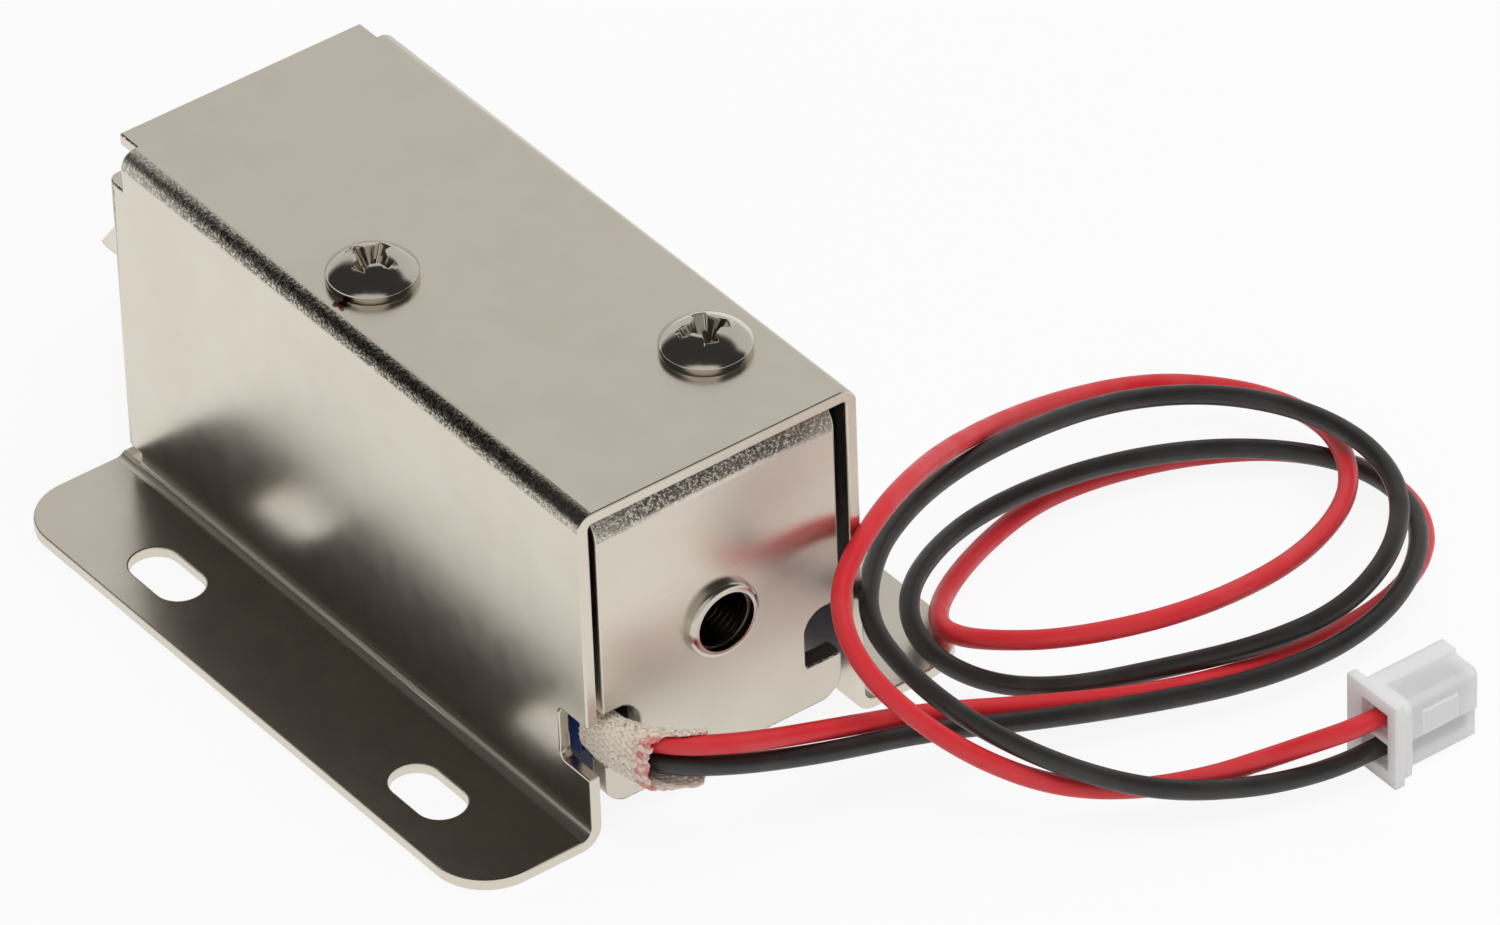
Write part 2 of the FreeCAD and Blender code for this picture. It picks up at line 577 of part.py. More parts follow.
def make_coil_frame():
    """The iron frame of the coil: a strip bent to an upside down U."""
    body = new_body("coil_frame")
    half = S.bracket_width / 2
    tight, wide = S.bracket_bend, S.bracket_bend + S.bracket_sheet
    side = new_sketch(body, "XZ_Plane")
    draw_outline(side, [
        (PLATE_BACK, S.bracket_floor), (PLATE_IN, S.bracket_floor),
        (PLATE_IN, TOP_IN - S.bracket_sheet, tight), (COIL_FRONT, TOP_IN - S.bracket_sheet, tight),
        (COIL_FRONT, S.bracket_floor), (PLATE_FRONT, S.bracket_floor),
        (PLATE_FRONT, TOP_IN, wide), (PLATE_BACK, TOP_IN, wide),
    ])
    pad(body, side, S.bracket_width, both_ways=True)

    def lower_corner(edge):
        middle = edge.CenterOfMass
        at_end = same(middle.z, S.bracket_floor) and same(abs(middle.y), half)
        return at_end and runs_along(edge, Vector(1, 0, 0))

    round_edges(body, S.bracket_corner, lower_corner)

    notches = new_sketch(body, "YZ_Plane")
    for side in (1, -1):
        inner, outer = (half - S.notch_depth) * side, (half + OVERCUT) * side
        low, high = AXIS_HEIGHT - S.notch_low, AXIS_HEIGHT - S.notch_high
        draw_outline(notches, [
            (inner, low, S.notch_corner), (outer, low), (outer, high), (inner, high, S.notch_round),
        ])
    draw_circle(notches, 0, AXIS_HEIGHT, S.core_hole)
    cut(body, notches)

    front = new_sketch(body, "YZ_Plane")
    draw_circle(front, 0, AXIS_HEIGHT, TUBE_HOLE)
    cut(body, front, back=True)

    tops = new_sketch(body, "XY_Plane")
    draw_circle(tops, FRONT_SCREW, S.screw_aside, S.screw_size + S.screw_fit)
    draw_circle(tops, REAR_SCREW, -S.screw_aside, S.screw_size + S.screw_fit)
    cut(body, tops, back=True)
    return body


def make_cover_screw(label, along, aside, angle):
    """A pan head machine screw with a cross recess."""
    body = new_body(label, along, aside, S.case_height)
    body.Placement.Rotation = FreeCAD.Rotation(UPRIGHT, angle.value)
    body.setExpression("Placement.Rotation.Angle", angle.text)
    shank, head = S.screw_size / 2, S.screw_head / 2
    tip = S.screw_point
    profile = new_sketch(body, "XZ_Plane")
    draw_outline(profile, [
        (0, -S.screw_reach), (shank - tip, -S.screw_reach), (shank, tip - S.screw_reach),
        (shank, 0), (head, 0), (head, S.screw_rim), (0, S.screw_rise),
    ], dome=5)
    turn(body, profile, "V_Axis")
    cut_cross(body)
    return body


def cut_cross(body):
    """The recess narrows from the crown to its floor."""
    loft = body.newObject("PartDesign::SubtractiveLoft", f"{body.Label}_recess")
    sections = []
    levels = (
        (S.screw_rise, S.recess_span, S.recess_slot, S.recess_core),
        (S.screw_rise - S.recess_depth, S.floor_span, S.floor_slot, S.floor_core),
    )
    for level, span, slot, core in levels:
        tip, wing = span / 2, slot / 2
        fork = wing + core
        sketch = new_sketch(body, "XY_Plane", level)
        draw_outline(sketch, [
            (tip, -wing), (tip, wing), (fork, wing), (wing, fork), (wing, tip), (-wing, tip),
            (-wing, fork), (-fork, wing), (-tip, wing), (-tip, -wing), (-fork, -wing), (-wing, -fork),
            (-wing, -tip), (wing, -tip), (wing, -fork), (fork, -wing),
        ])
        sections.append(sketch)
    loft.Profile = sections[0]
    loft.Sections = [sections[1]]
    loft.Ruled = True
    body.Tip = loft
    DOC.recompute()


def make_bobbin():
    """The nylon bobbin, with a notch on each side of its rear flange for the leads."""
    body = new_body("bobbin", PLATE_IN, None, AXIS_HEIGHT)
    bore = S.guide_outer / 2 + S.guide_gap
    barrel, flange = bore + S.barrel_wall, S.flange_size / 2
    profile = new_sketch(body, "XZ_Plane")
    draw_outline(profile, [
        (0, bore), (COIL_LENGTH, bore), (COIL_LENGTH, flange), (COIL_LENGTH - S.flange_sheet, flange),
        (COIL_LENGTH - S.flange_sheet, barrel), (S.flange_sheet, barrel), (S.flange_sheet, flange),
        (0, flange),
    ])
    turn(body, profile)
    inner = S.bracket_width / 2 - S.notch_depth
    notches = new_sketch(body, "YZ_Plane")
    draw_box(notches, inner, flange + OVERCUT, -S.notch_low, -S.notch_high)
    draw_box(notches, -flange - OVERCUT, -inner, -S.notch_low, -S.notch_high)
    cut(body, notches, S.flange_sheet + S.layer_gap, back=True)
    return body


def make_ring(label, inner, outer):
    """A layer between the bobbin flanges."""
    body = new_body(label, PLATE_IN + S.flange_sheet, None, AXIS_HEIGHT)
    end = COIL_LENGTH - S.flange_sheet * 2
    profile = new_sketch(body, "XZ_Plane")
    draw_outline(profile, [(0, inner), (end, inner), (end, outer), (0, outer)])
    turn(body, profile)
    return body


def make_coil_tape():
    """The insulating tape round the winding, its rear end taken over the splices."""
    inner = S.winding_size / 2 + S.layer_gap
    body = make_ring("coil_tape", inner, inner + S.tape_sheet)
    sheet = S.tape_sheet
    lap = new_sketch(body, "YZ_Plane")
    draw_outline(lap, [
        (inner, 0), (S.lap_aside, -S.lap_high), (S.lap_aside, -S.lap_low),
        (S.lap_foot, -S.lap_foot_low), (S.lap_foot - sheet / 2, -S.lap_foot_low - sheet),
        (S.lap_aside + sheet, -S.lap_low - sheet), (S.lap_aside + sheet, -S.lap_high),
        (inner + sheet, 0),
    ])
    pad(body, lap, S.lap_length)
    return body


def make_guide_tube():
    """The brass tube that the plunger slides in."""
    body = new_body("guide_tube", PLATE_IN, None, AXIS_HEIGHT)
    end = PLATE_FRONT - PLATE_IN
    profile = new_sketch(body, "XZ_Plane")
    inner, outer = S.guide_bore / 2, S.guide_outer / 2
    draw_outline(profile, [(0, inner), (end, inner), (end, outer), (0, outer)])
    turn(body, profile)
    return body


def make_fixed_core():
    """The fixed pole, riveted through the rear plate by its hollow end."""
    body = new_body("fixed_core", PLATE_BACK, None, AXIS_HEIGHT)
    pole, spigot, bore = S.core_size / 2, S.core_hole / 2 - S.rivet_fit, S.rivet_bore / 2
    seat = S.core_length
    reach = S.nose_length - S.pole_rim
    front = seat + reach
    mouth = S.nose_flat / 2 + (S.plunger_size - S.nose_flat) / 2 * (reach / S.nose_length)
    floor = S.rivet_depth - S.rivet_stand
    profile = new_sketch(body, "XZ_Plane")
    draw_outline(profile, [
        (floor, 0), (seat, 0), (seat, S.nose_flat / 2), (front, mouth), (front, pole),
        (S.bracket_sheet, pole), (S.bracket_sheet, spigot), (0, spigot), (0, S.rivet_lip / 2),
        (-S.rivet_stand, S.rivet_lip / 2), (-S.rivet_stand, bore), (floor, bore),
    ])
    turn(body, profile)

    def lip(edge):
        middle = edge.CenterOfMass
        return same(middle.x, -S.rivet_stand) and same(edge.Length, S.rivet_lip * math.pi)

    round_edges(body, S.rivet_round, lip)
    return body


def make_plunger():
    """The moving pole: cone nose, plain body and a neck that the bolt holds."""
    body = new_body("plunger", PLUNGER_TIP, None, AXIS_HEIGHT)
    pole, neck = S.plunger_size / 2, S.neck_size / 2
    end = PLUNGER_LENGTH + S.neck_free + S.neck_hold
    profile = new_sketch(body, "XZ_Plane")
    draw_outline(profile, [
        (0, 0), (end, 0), (end, neck), (PLUNGER_LENGTH, neck), (PLUNGER_LENGTH, pole),
        (S.nose_length, pole), (0, S.nose_flat / 2),
    ])
    turn(body, profile)
    hole = new_sketch(body, "XY_Plane")
    draw_circle(hole, PIN_X - PLUNGER_TIP, 0, S.pin_size + S.pin_fit)
    cut_both_ways(body, hole)
    return body


def cut_both_ways(body, sketch):
    feature = add_feature(body, "Pocket", sketch, "cross_hole")
    feature.Type = "ThroughAll"
    feature.SideType = "Symmetric"
    DOC.recompute()
    if feature.Shape.Volume > feature.BaseFeature.Shape.Volume - 1e-4:
        raise ValueError(f"{feature.Name} removes nothing")


def make_latch_bolt():
    """The square bolt with its slant tip and the collar that stops it."""
    body = new_body("latch_bolt", COLLAR_BACK, None, AXIS_HEIGHT)
    half, collar = S.bolt_side / 2, S.collar_side / 2
    tip = CASE_FRONT + S.bolt_reach - COLLAR_BACK
    side = new_sketch(body, "XZ_Plane")
    draw_outline(side, [
        (0, -half), (tip, -half), (tip, half - S.slant_rise), (tip - S.slant_run, half), (0, half),
    ])
    pad(body, side, S.bolt_side, both_ways=True)

    def long_edge(edge):
        middle = edge.CenterOfMass
        on_corner = same(abs(middle.y), half) and same(abs(middle.z), half)
        return on_corner and runs_along(edge, Vector(1, 0, 0))

    round_edges(body, S.bolt_edge, long_edge)
    rear = new_sketch(body, "YZ_Plane")
    draw_box(rear, -collar, collar, -collar, collar, S.bolt_edge)
    pad(body, rear, S.collar_sheet)
    bore = new_sketch(body, "YZ_Plane")
    draw_circle(bore, 0, 0, S.neck_size + S.neck_fit)
    cut(body, bore, S.neck_hold + S.bore_spare, back=True)
    hole = new_sketch(body, "XY_Plane")
    draw_circle(hole, PIN_X - COLLAR_BACK, 0, S.pin_size + S.pin_fit)
    cut_both_ways(body, hole)
    return body


def make_bolt_pin():
    """The pin across bolt and plunger neck."""
    body = new_body("bolt_pin", PIN_X, None, AXIS_HEIGHT)
    sketch = new_sketch(body, "XY_Plane")
    draw_circle(sketch, 0, 0, S.pin_size)
    pad(body, sketch, S.bolt_side - S.pin_inset * 2, both_ways=True)
    return body


def make_bumper():
    """The rubber frame behind the front lips that the collar lands on."""
    body = new_body("bumper_washer", BUMPER_BACK, None, AXIS_HEIGHT)
    outer, inner = S.bumper_side / 2, S.bolt_side / 2 + S.bumper_play
    sketch = new_sketch(body, "YZ_Plane")
    draw_box(sketch, -outer, outer, -outer, outer, S.bolt_edge)
    draw_box(sketch, -inner, inner, -inner, inner)
    pad(body, sketch, S.bumper_sheet)
    return body


def make_return_spring():
    """The spring between the frame's front plate and the bolt collar."""
    inset = S.spring_wire / 2 + S.spring_seat
    body = new_body("return_spring", PLATE_FRONT + inset, None, AXIS_HEIGHT)
    wire = new_sketch(body, "XZ_Plane")
    draw_circle(wire, 0, S.spring_mean / 2, S.spring_wire)
    coil = add_feature(body, "AdditiveHelix", wire, "coil")
    coil.ReferenceAxis = (wire, ["H_Axis"])
    coil.Mode = 2
    coil.setExpression("Height", (COLLAR_BACK - PLATE_FRONT - inset * 2).text)
    coil.setExpression("Turns", S.spring_turns.text)
    DOC.recompute()
    return body


def make_splice(label, drop):
    """The crimped joint of a lead and its coil wire, beside the winding."""
    body = new_body(label, PLATE_IN + S.splice_ahead, S.splice_aside, AXIS_HEIGHT - drop)
    sketch = new_sketch(body, "YZ_Plane")
    draw_circle(sketch, 0, 0, S.splice_size)
    pad(body, sketch, S.splice_length)
    return body


def make_plug():
    """The two way plug housing, lying on its narrow side."""
    body = new_body("connector_housing", S.plug_x, S.plug_y, S.plug_flange_high / 2)
    flange = new_sketch(body, "XZ_Plane")
    wide, high = S.plug_flange_wide / 2, S.plug_flange_high / 2
    draw_box(flange, -wide, wide, -high, high)
    pad(body, flange, S.plug_flange_sheet)
    start, right = S.plug_flange_sheet, wide - S.plug_margin
    left, bottom = right - S.plug_wide, S.plug_sink - high
    top, ledge = bottom + S.plug_high, bottom + S.ledge_height
    crest = right - S.plug_crest
    shell = new_sketch(body, "XZ_Plane", start)
    draw_outline(shell, [
        (right, bottom), (right, top), (crest, top), (crest, top - S.crest_step),
        (left, top - S.crest_step, S.plug_round), (left, ledge), (left + S.ledge_depth, ledge),
        (left + S.ledge_depth, bottom),
    ])
    pad(body, shell, S.plug_length)
    collar = new_sketch(body, "XZ_Plane", start)
    outer = left - S.collar_out
    draw_outline(collar, [(right, bottom), (right, top), (outer, top, S.collar_round), (outer, bottom)])
    pad(body, collar, S.collar_length)
    key = new_sketch(body, "YZ_Plane", left - S.key_stand)
    near, low = -start - S.key_start, ledge + S.key_rise
    draw_box(key, near - S.key_length, near, low, low + S.key_high)
    pad(body, key, S.key_stand)
    ways, entries = new_sketch(body, "XZ_Plane"), new_sketch(body, "XZ_Plane")
    half, aside = S.way_side / 2, -S.plug_aside
    wide, high = S.mouth_wide / 2, S.mouth_high / 2
    for middle in (S.plug_pitch / 2, -(S.plug_pitch / 2)):
        draw_box(ways, aside - half, aside + half, middle - half, middle + half)
        draw_box(entries, aside - wide, aside + wide, middle - high, middle + high)
    cut(body, ways, back=True)
    cut(body, entries, S.mouth_depth, back=True)
    return body


def make_contact(label, way):
    """A crimp contact in one way of the plug."""
    body = new_body(label, S.plug_x - S.plug_aside, S.plug_y - S.lead_end,
                    S.plug_flange_high / 2 + S.plug_pitch / 2 * way)
    half, socket = S.contact_side / 2, S.contact_bore / 2
    barrel = new_sketch(body, "XZ_Plane")
    draw_circle(barrel, 0, 0, S.lead_size)
    pad(body, barrel, S.barrel_length)
    box = new_sketch(body, "XZ_Plane", S.barrel_length)
    draw_box(box, -half, half, -half, half)
    pad(body, box, S.contact_length - S.barrel_length)
    hole = new_sketch(body, "XZ_Plane", S.contact_length)
    draw_box(hole, -socket, socket, -socket, socket)
    cut(body, hole, S.contact_length - S.barrel_length - S.contact_wall)
    return body


def rounded_path(points):
    """Straight runs with a tangent arc at each point between them."""
    points = [Vector(*point) for point in points]
    runs = [after - before for before, after in zip(points, points[1:])]
    edges, radii = [], []
    start = points[0]
    for corner, before, after in zip(points[1:], runs, runs[1:]):
        half_turn = before.getAngle(after) / 2
        reach = 0.45 * min(before.Length, after.Length)
        radius = reach / math.tan(half_turn)
        enter = corner - before * (reach / before.Length)
        leave = corner + after * (reach / after.Length)
        inward = ((enter + leave) / 2 - corner).normalize()
        middle = corner + inward * radius * (1 / math.cos(half_turn) - 1)
        edges.append(Part.LineSegment(start, enter).toShape())
        edges.append(Part.Arc(enter, middle, leave).toShape())
        radii.append(radius)
        start = leave
    edges.append(Part.LineSegment(start, points[-1]).toShape())
    return edges, radii


def sweep_round(edges, radius):
    start, end = edges[0].Vertexes[0].Point, edges[0].Vertexes[1].Point
    profile = Part.Wire(Part.Circle(start, end - start, radius).toShape())
    return Part.Wire(edges).makePipeShell([profile], True, False)


def add_shape(label, shape):
    piece = DOC.addObject("Part::Feature", label)
    piece.Label = label
    piece.Shape = shape
    piece.Placement = FreeCAD.Placement()
    return piece


def make_lead(label, points):
    """A lead lying free, as straight runs and arcs."""
    edges, radii = rounded_path(points)
    tube = sweep_round(edges, S.lead_size.value / 2)
    travel = sum(edge.Length for edge in edges)
    section = math.pi * S.lead_size.value ** 2 / 4
    print(label, "length", round(travel, 1), "least radius", round(min(radii), 2),
          "volume over section times length", round(tube.Volume / (section * travel), 5))
    print("  radii", " ".join(f"{radius:.1f}" for radius in radii))
    return add_shape(label, tube)


def make_sleeve():
    """The braided sleeve round both leads, open and flared at its end."""
    edges, radii = rounded_path(SLEEVE_LINE)
    last = edges[-1]
    start, end = last.Vertexes[0].Point, last.Vertexes[1].Point
    outer, mouth, wall = S.sleeve_size.value / 2, S.mouth_size.value / 2, S.sleeve_wall.value
    layers = []
    for inset in (0.0, wall):
        barrel = sweep_round(edges[:-1], outer - inset)
        flare = Part.makeCone(outer - inset, mouth - inset, last.Length, start, end - start)
        layers.append(barrel.fuse(flare).removeSplitter())
    return add_shape("lead_sleeve", layers[0].cut(layers[1]))


def make_all():
    barrel = S.guide_outer / 2 + S.guide_gap + S.barrel_wall
    return [
        make_case_cover(),
        make_coil_frame(),
        make_cover_screw("cover_screw_front", FRONT_SCREW, S.screw_aside, S.turn_front),
        make_cover_screw("cover_screw_rear", REAR_SCREW, -S.screw_aside, S.turn_rear),
        make_bobbin(),
        make_ring("coil_winding", barrel + S.layer_gap, S.winding_size / 2),
        make_coil_tape(),
        make_guide_tube(),
        make_fixed_core(),
        make_plunger(),
        make_latch_bolt(),
        make_bolt_pin(),
        make_bumper(),
        make_return_spring(),
        make_splice("splice_red", S.splice_high),
        make_splice("splice_black", S.splice_low),
        make_lead("lead_red", RED_LEAD),
        make_lead("lead_black", BLACK_LEAD),
        make_sleeve(),
        make_plug(),
        make_contact("contact_red", 1),
        make_contact("contact_black", -1),
    ]


def check_and_write(pieces):
    DOC.recompute()
    for item in DOC.Objects:
        if "Invalid" in item.State or "Error" in item.State:
            raise ValueError(f"{item.Name} failed: {item.State}")
    for piece in pieces:
        if piece.Shape.isNull() or not piece.Shape.isValid():
            raise ValueError(f"{piece.Label} has no valid shape")
    os.makedirs("parts", exist_ok=True)
    for piece in pieces:
        piece.Shape.exportStep(f"parts/{piece.Label}.step")
        box = piece.Shape.BoundBox
        print(piece.Label, "solids", len(piece.Shape.Solids), "volume", round(piece.Shape.Volume, 1),
              "x", round(box.XMin, 2), round(box.XMax, 2), "y", round(box.YMin, 2),
              round(box.YMax, 2), "z", round(box.ZMin, 2), round(box.ZMax, 2))


check_and_write(make_all())
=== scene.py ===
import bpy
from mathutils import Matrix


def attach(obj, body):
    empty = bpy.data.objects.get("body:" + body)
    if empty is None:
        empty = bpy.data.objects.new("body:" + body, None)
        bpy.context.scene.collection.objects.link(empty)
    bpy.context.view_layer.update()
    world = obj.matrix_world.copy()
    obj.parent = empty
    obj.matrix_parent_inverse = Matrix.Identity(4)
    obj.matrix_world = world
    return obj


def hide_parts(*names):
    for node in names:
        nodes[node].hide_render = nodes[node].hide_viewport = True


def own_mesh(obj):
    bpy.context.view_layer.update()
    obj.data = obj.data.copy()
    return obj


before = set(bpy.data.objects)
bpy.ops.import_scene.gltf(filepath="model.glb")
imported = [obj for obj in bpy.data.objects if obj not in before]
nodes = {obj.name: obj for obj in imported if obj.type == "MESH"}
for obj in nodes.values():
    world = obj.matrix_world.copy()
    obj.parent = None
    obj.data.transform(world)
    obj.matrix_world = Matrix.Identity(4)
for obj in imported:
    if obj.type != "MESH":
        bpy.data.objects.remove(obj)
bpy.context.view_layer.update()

import math

import bmesh
import bpy
from mathutils import Matrix, Vector, noise

# CAMERA
# The lock is seen from behind and to its left, 38 degrees up and nearly a metre off,
# through a long lens that is turned a little to the right.
camera_place = Vector((-0.5765137, 0.39434973, 0.54864787))
heading, rise, turn = -0.62451, -0.6568, -0.03744
ahead = Vector((math.cos(rise) * math.cos(heading), math.cos(rise) * math.sin(heading),
                math.sin(rise)))
level = ahead.cross(Vector((0, 0, 1))).normalized()
upward = level.cross(ahead)
across = level * math.cos(turn) + upward * math.sin(turn)
upright = upward * math.cos(turn) - level * math.sin(turn)
lens = bpy.data.cameras.new("studio_lens")
lens.sensor_width = 36.0
lens.lens = 316.098
lens.clip_start, lens.clip_end = 0.05, 20.0
camera = bpy.data.objects.new("studio_camera", lens)
camera_turn = Matrix((across, upright, -ahead)).transposed().to_4x4()
camera.matrix_world = Matrix.Translation(camera_place) @ camera_turn
bpy.context.scene.collection.objects.link(camera)
bpy.context.scene.camera = camera
bpy.context.scene.view_settings.view_transform = "Standard"

# LEADS
# Two tinned copper wires in soft PVC, red and black, 1.4 mm across. They are crimped to the
# coil inside the case, leave it together through the sleeve, and lie in two open turns.
red_route = [
    (-0.0195, 0.00875, 0.0087), (-0.0226, 0.00875, 0.0084), (-0.0252, 0.00885, 0.0083),
    (-0.0277, 0.0082, 0.0087), (-0.0297, 0.00655, 0.00865), (-0.031, 0.0042, 0.0084),
    (-0.0318, 0.0013, 0.0078), (-0.0319, -0.0043, 0.006), (-0.0326, -0.0116, 0.0041),
    (-0.0349, -0.0189, 0.0024), (-0.0378, -0.0262, 0.0015), (-0.0396, -0.0332, 0.0011),
    (-0.0399, -0.0401, 0.0008), (-0.0391, -0.0463, 0.0008), (-0.0364, -0.0511, 0.0008),
    (-0.0319, -0.0535, 0.0008), (-0.0267, -0.0532, 0.0008), (-0.022, -0.0503, 0.0008),
    (-0.0186, -0.0453, 0.0008), (-0.0164, -0.0392, 0.0008), (-0.016, -0.0333, 0.001),
    (-0.0174, -0.0276, 0.0009), (-0.0202, -0.0224, 0.0015), (-0.0236, -0.0189, 0.0026),
    (-0.0266, -0.0182, 0.0035), (-0.0297, -0.0192, 0.0045), (-0.0332, -0.0221, 0.0053),
    (-0.0361, -0.0277, 0.0058), (-0.0366, -0.0339, 0.0053), (-0.0355, -0.0406, 0.0045),
    (-0.0328, -0.0465, 0.0039), (-0.0294, -0.05, 0.0036), (-0.0248, -0.0521, 0.0032),
    (-0.0203, -0.0521, 0.0028), (-0.0163, -0.05, 0.0029), (-0.0131, -0.0452, 0.0038),
    (-0.0134, -0.0364, 0.0064), (-0.0181, -0.0251, 0.0114), (-0.0241, -0.0157, 0.0156),
    (-0.0269, -0.0102, 0.0153), (-0.0284, -0.0075, 0.0139), (-0.0305, -0.0063, 0.012),
    (-0.0332, -0.0063, 0.01), (-0.0366, -0.0076, 0.0078), (-0.0396, -0.0102, 0.0052),
    (-0.0426, -0.0138, 0.003), (-0.0453, -0.018, 0.0021), (-0.0477, -0.0228, 0.0022),
    (-0.0495, -0.0272, 0.003), (-0.0509, -0.0293, 0.0039), (-0.0519, -0.0313, 0.00445),
    (-0.05225, -0.0331, 0.00465), (-0.05225, -0.0349, 0.00465),
]
black_route = [
    (-0.0195, 0.00875, 0.007), (-0.0226, 0.00875, 0.0069), (-0.0252, 0.00885, 0.0066),
    (-0.0277, 0.0082, 0.007), (-0.0297, 0.00655, 0.00695), (-0.031, 0.0043, 0.0067),
    (-0.0317, 0.0015, 0.006), (-0.0329, -0.0032, 0.0052), (-0.034, -0.0103, 0.004),
    (-0.0363, -0.0178, 0.0026), (-0.039, -0.0251, 0.002), (-0.0417, -0.0316, 0.0022),
    (-0.0424, -0.0383, 0.0021), (-0.0414, -0.0442, 0.0025), (-0.0378, -0.0494, 0.0026),
    (-0.0328, -0.0523, 0.0021), (-0.0275, -0.0522, 0.0018), (-0.0233, -0.0496, 0.0019),
    (-0.0199, -0.0449, 0.0023), (-0.0177, -0.0388, 0.0028), (-0.017, -0.0319, 0.0034),
    (-0.0177, -0.0253, 0.0038), (-0.0205, -0.0194, 0.0042), (-0.0237, -0.0165, 0.0039),
    (-0.0276, -0.0158, 0.0033), (-0.0313, -0.0178, 0.0024), (-0.0341, -0.0218, 0.0019),
    (-0.0364, -0.028, 0.0018), (-0.0396, -0.0338, 0.0028), (-0.0408, -0.0398, 0.0035),
    (-0.0395, -0.045, 0.0045), (-0.0363, -0.0489, 0.0051), (-0.032, -0.051, 0.0052),
    (-0.0272, -0.0512, 0.0053), (-0.0224, -0.0494, 0.0055), (-0.0187, -0.0452, 0.0062),
    (-0.0169, -0.0388, 0.0074), (-0.018, -0.0305, 0.0094), (-0.019, -0.0229, 0.0099),
    (-0.0217, -0.0165, 0.0102), (-0.025, -0.0124, 0.0102), (-0.0284, -0.0099, 0.0098),
    (-0.0322, -0.0095, 0.0088), (-0.0367, -0.0105, 0.0072), (-0.0409, -0.0127, 0.0056),
    (-0.0448, -0.0159, 0.004), (-0.0479, -0.0197, 0.0028), (-0.0502, -0.0245, 0.0021),
    (-0.0515, -0.028, 0.00205), (-0.0521, -0.0307, 0.0021), (-0.05225, -0.0328, 0.00215),
    (-0.05225, -0.0349, 0.00215),
]


def new_finish(name, **even):
    """A material on one Principled shader; what is the same all over is set on its sockets."""
    finish = bpy.data.materials.new(name)
    finish.use_nodes = True
    shader = finish.node_tree.nodes["Principled BSDF"]
    for socket, value in even.items():
        shader.inputs[socket.replace("_", " ")].default_value = value
    return finish


def feed(finish, value, socket):
    """Give a socket a plain value, or the output of another node."""
    if isinstance(value, bpy.types.NodeSocket):
        finish.node_tree.links.new(value, socket)
    else:
        socket.default_value = value


def add_node(finish, kind, inputs=None, **settings):
    """A shader node with its settings, and with what goes in its inputs."""
    node = finish.node_tree.nodes.new("ShaderNode" + kind)
    for setting, value in settings.items():
        setattr(node, setting, value)
    for socket, value in (inputs or {}).items():
        feed(finish, value, node.inputs[socket])
    return node


def steps(finish, share, low, high, first=0.0, last=1.0):
    """A share between low and high, spread smoothly from first to last."""
    node = add_node(finish, "MapRange", {"Value": share, "From Min": low, "From Max": high,
                                         "To Min": first, "To Max": last})
    node.interpolation_type = "SMOOTHSTEP"
    return node.outputs["Result"]


def mixed(finish, share, first, second):
    """One colour turning into another as the share goes from 0 to 1."""
    node = add_node(finish, "Mix", data_type="RGBA")
    feed(finish, share, node.inputs[0])
    feed(finish, (*first, 1) if isinstance(first, tuple) else first, node.inputs[6])
    feed(finish, (*second, 1) if isinstance(second, tuple) else second, node.inputs[7])
    return node.outputs[2]


def grain(finish, size, detail=2.0, roughness=0.5, stretch=(1, 1, 1)):
    """Soft random grain whose lumps are about as large as size, in metres."""
    place = add_node(finish, "TexCoord").outputs["Object"]
    place = add_node(finish, "Mapping", {"Vector": place, "Scale": stretch}).outputs["Vector"]
    node = add_node(finish, "TexNoise", {"Vector": place, "Scale": 1 / size, "Detail": detail,
                                         "Roughness": roughness})
    return node.outputs["Fac"]


def raise_surface(finish, height, depth, strength=1.0):
    """Bump the surface by a height from 0 to 1, which stands for depth in metres."""
    shader = finish.node_tree.nodes["Principled BSDF"]
    before = shader.inputs["Normal"].links
    inputs = {"Height": height, "Distance": depth, "Strength": strength}
    if before:
        inputs["Normal"] = before[0].from_socket
    bump = add_node(finish, "Bump", inputs)
    feed(finish, bump.outputs["Normal"], shader.inputs["Normal"])


def set_colour(finish, colour):
    feed(finish, colour, finish.node_tree.nodes["Principled BSDF"].inputs["Base Color"])


def set_roughness(finish, roughness):
    feed(finish, roughness, finish.node_tree.nodes["Principled BSDF"].inputs["Roughness"])


def dress(piece, finish):
    """Give a piece one finish all over."""
    piece.data.materials.clear()
    piece.data.materials.append(finish)


def cloud_roughness(finish, size, detail, low, high, stretch=(1, 1, 1)):
    """Let the roughness drift between low and high, in clouds of one size."""
    clouds = grain(finish, size, detail, 0.5, stretch)
    set_roughness(finish, steps(finish, clouds, 0.3, 0.7, low, high))


def lead_finish(name, plain, dusty):
    """Soft PVC with a dull skin, a few paler rubbed patches and fine pits."""
    finish = new_finish(name, Specular_IOR_Level=0.6)
    rubbed = steps(finish, grain(finish, 0.004, 3.0), 0.45, 0.8)
    set_colour(finish, mixed(finish, rubbed, plain, dusty))
    cloud_roughness(finish, 0.0015, 4.0, 0.36, 0.50)
    raise_surface(finish, grain(finish, 0.00025, 2.0), 0.00001, 0.35)
    return finish


red_pvc = lead_finish("red_pvc", (0.76, 0.026, 0.036), (0.78, 0.055, 0.065))
black_pvc = lead_finish("black_pvc", (0.021, 0.019, 0.018), (0.035, 0.032, 0.030))

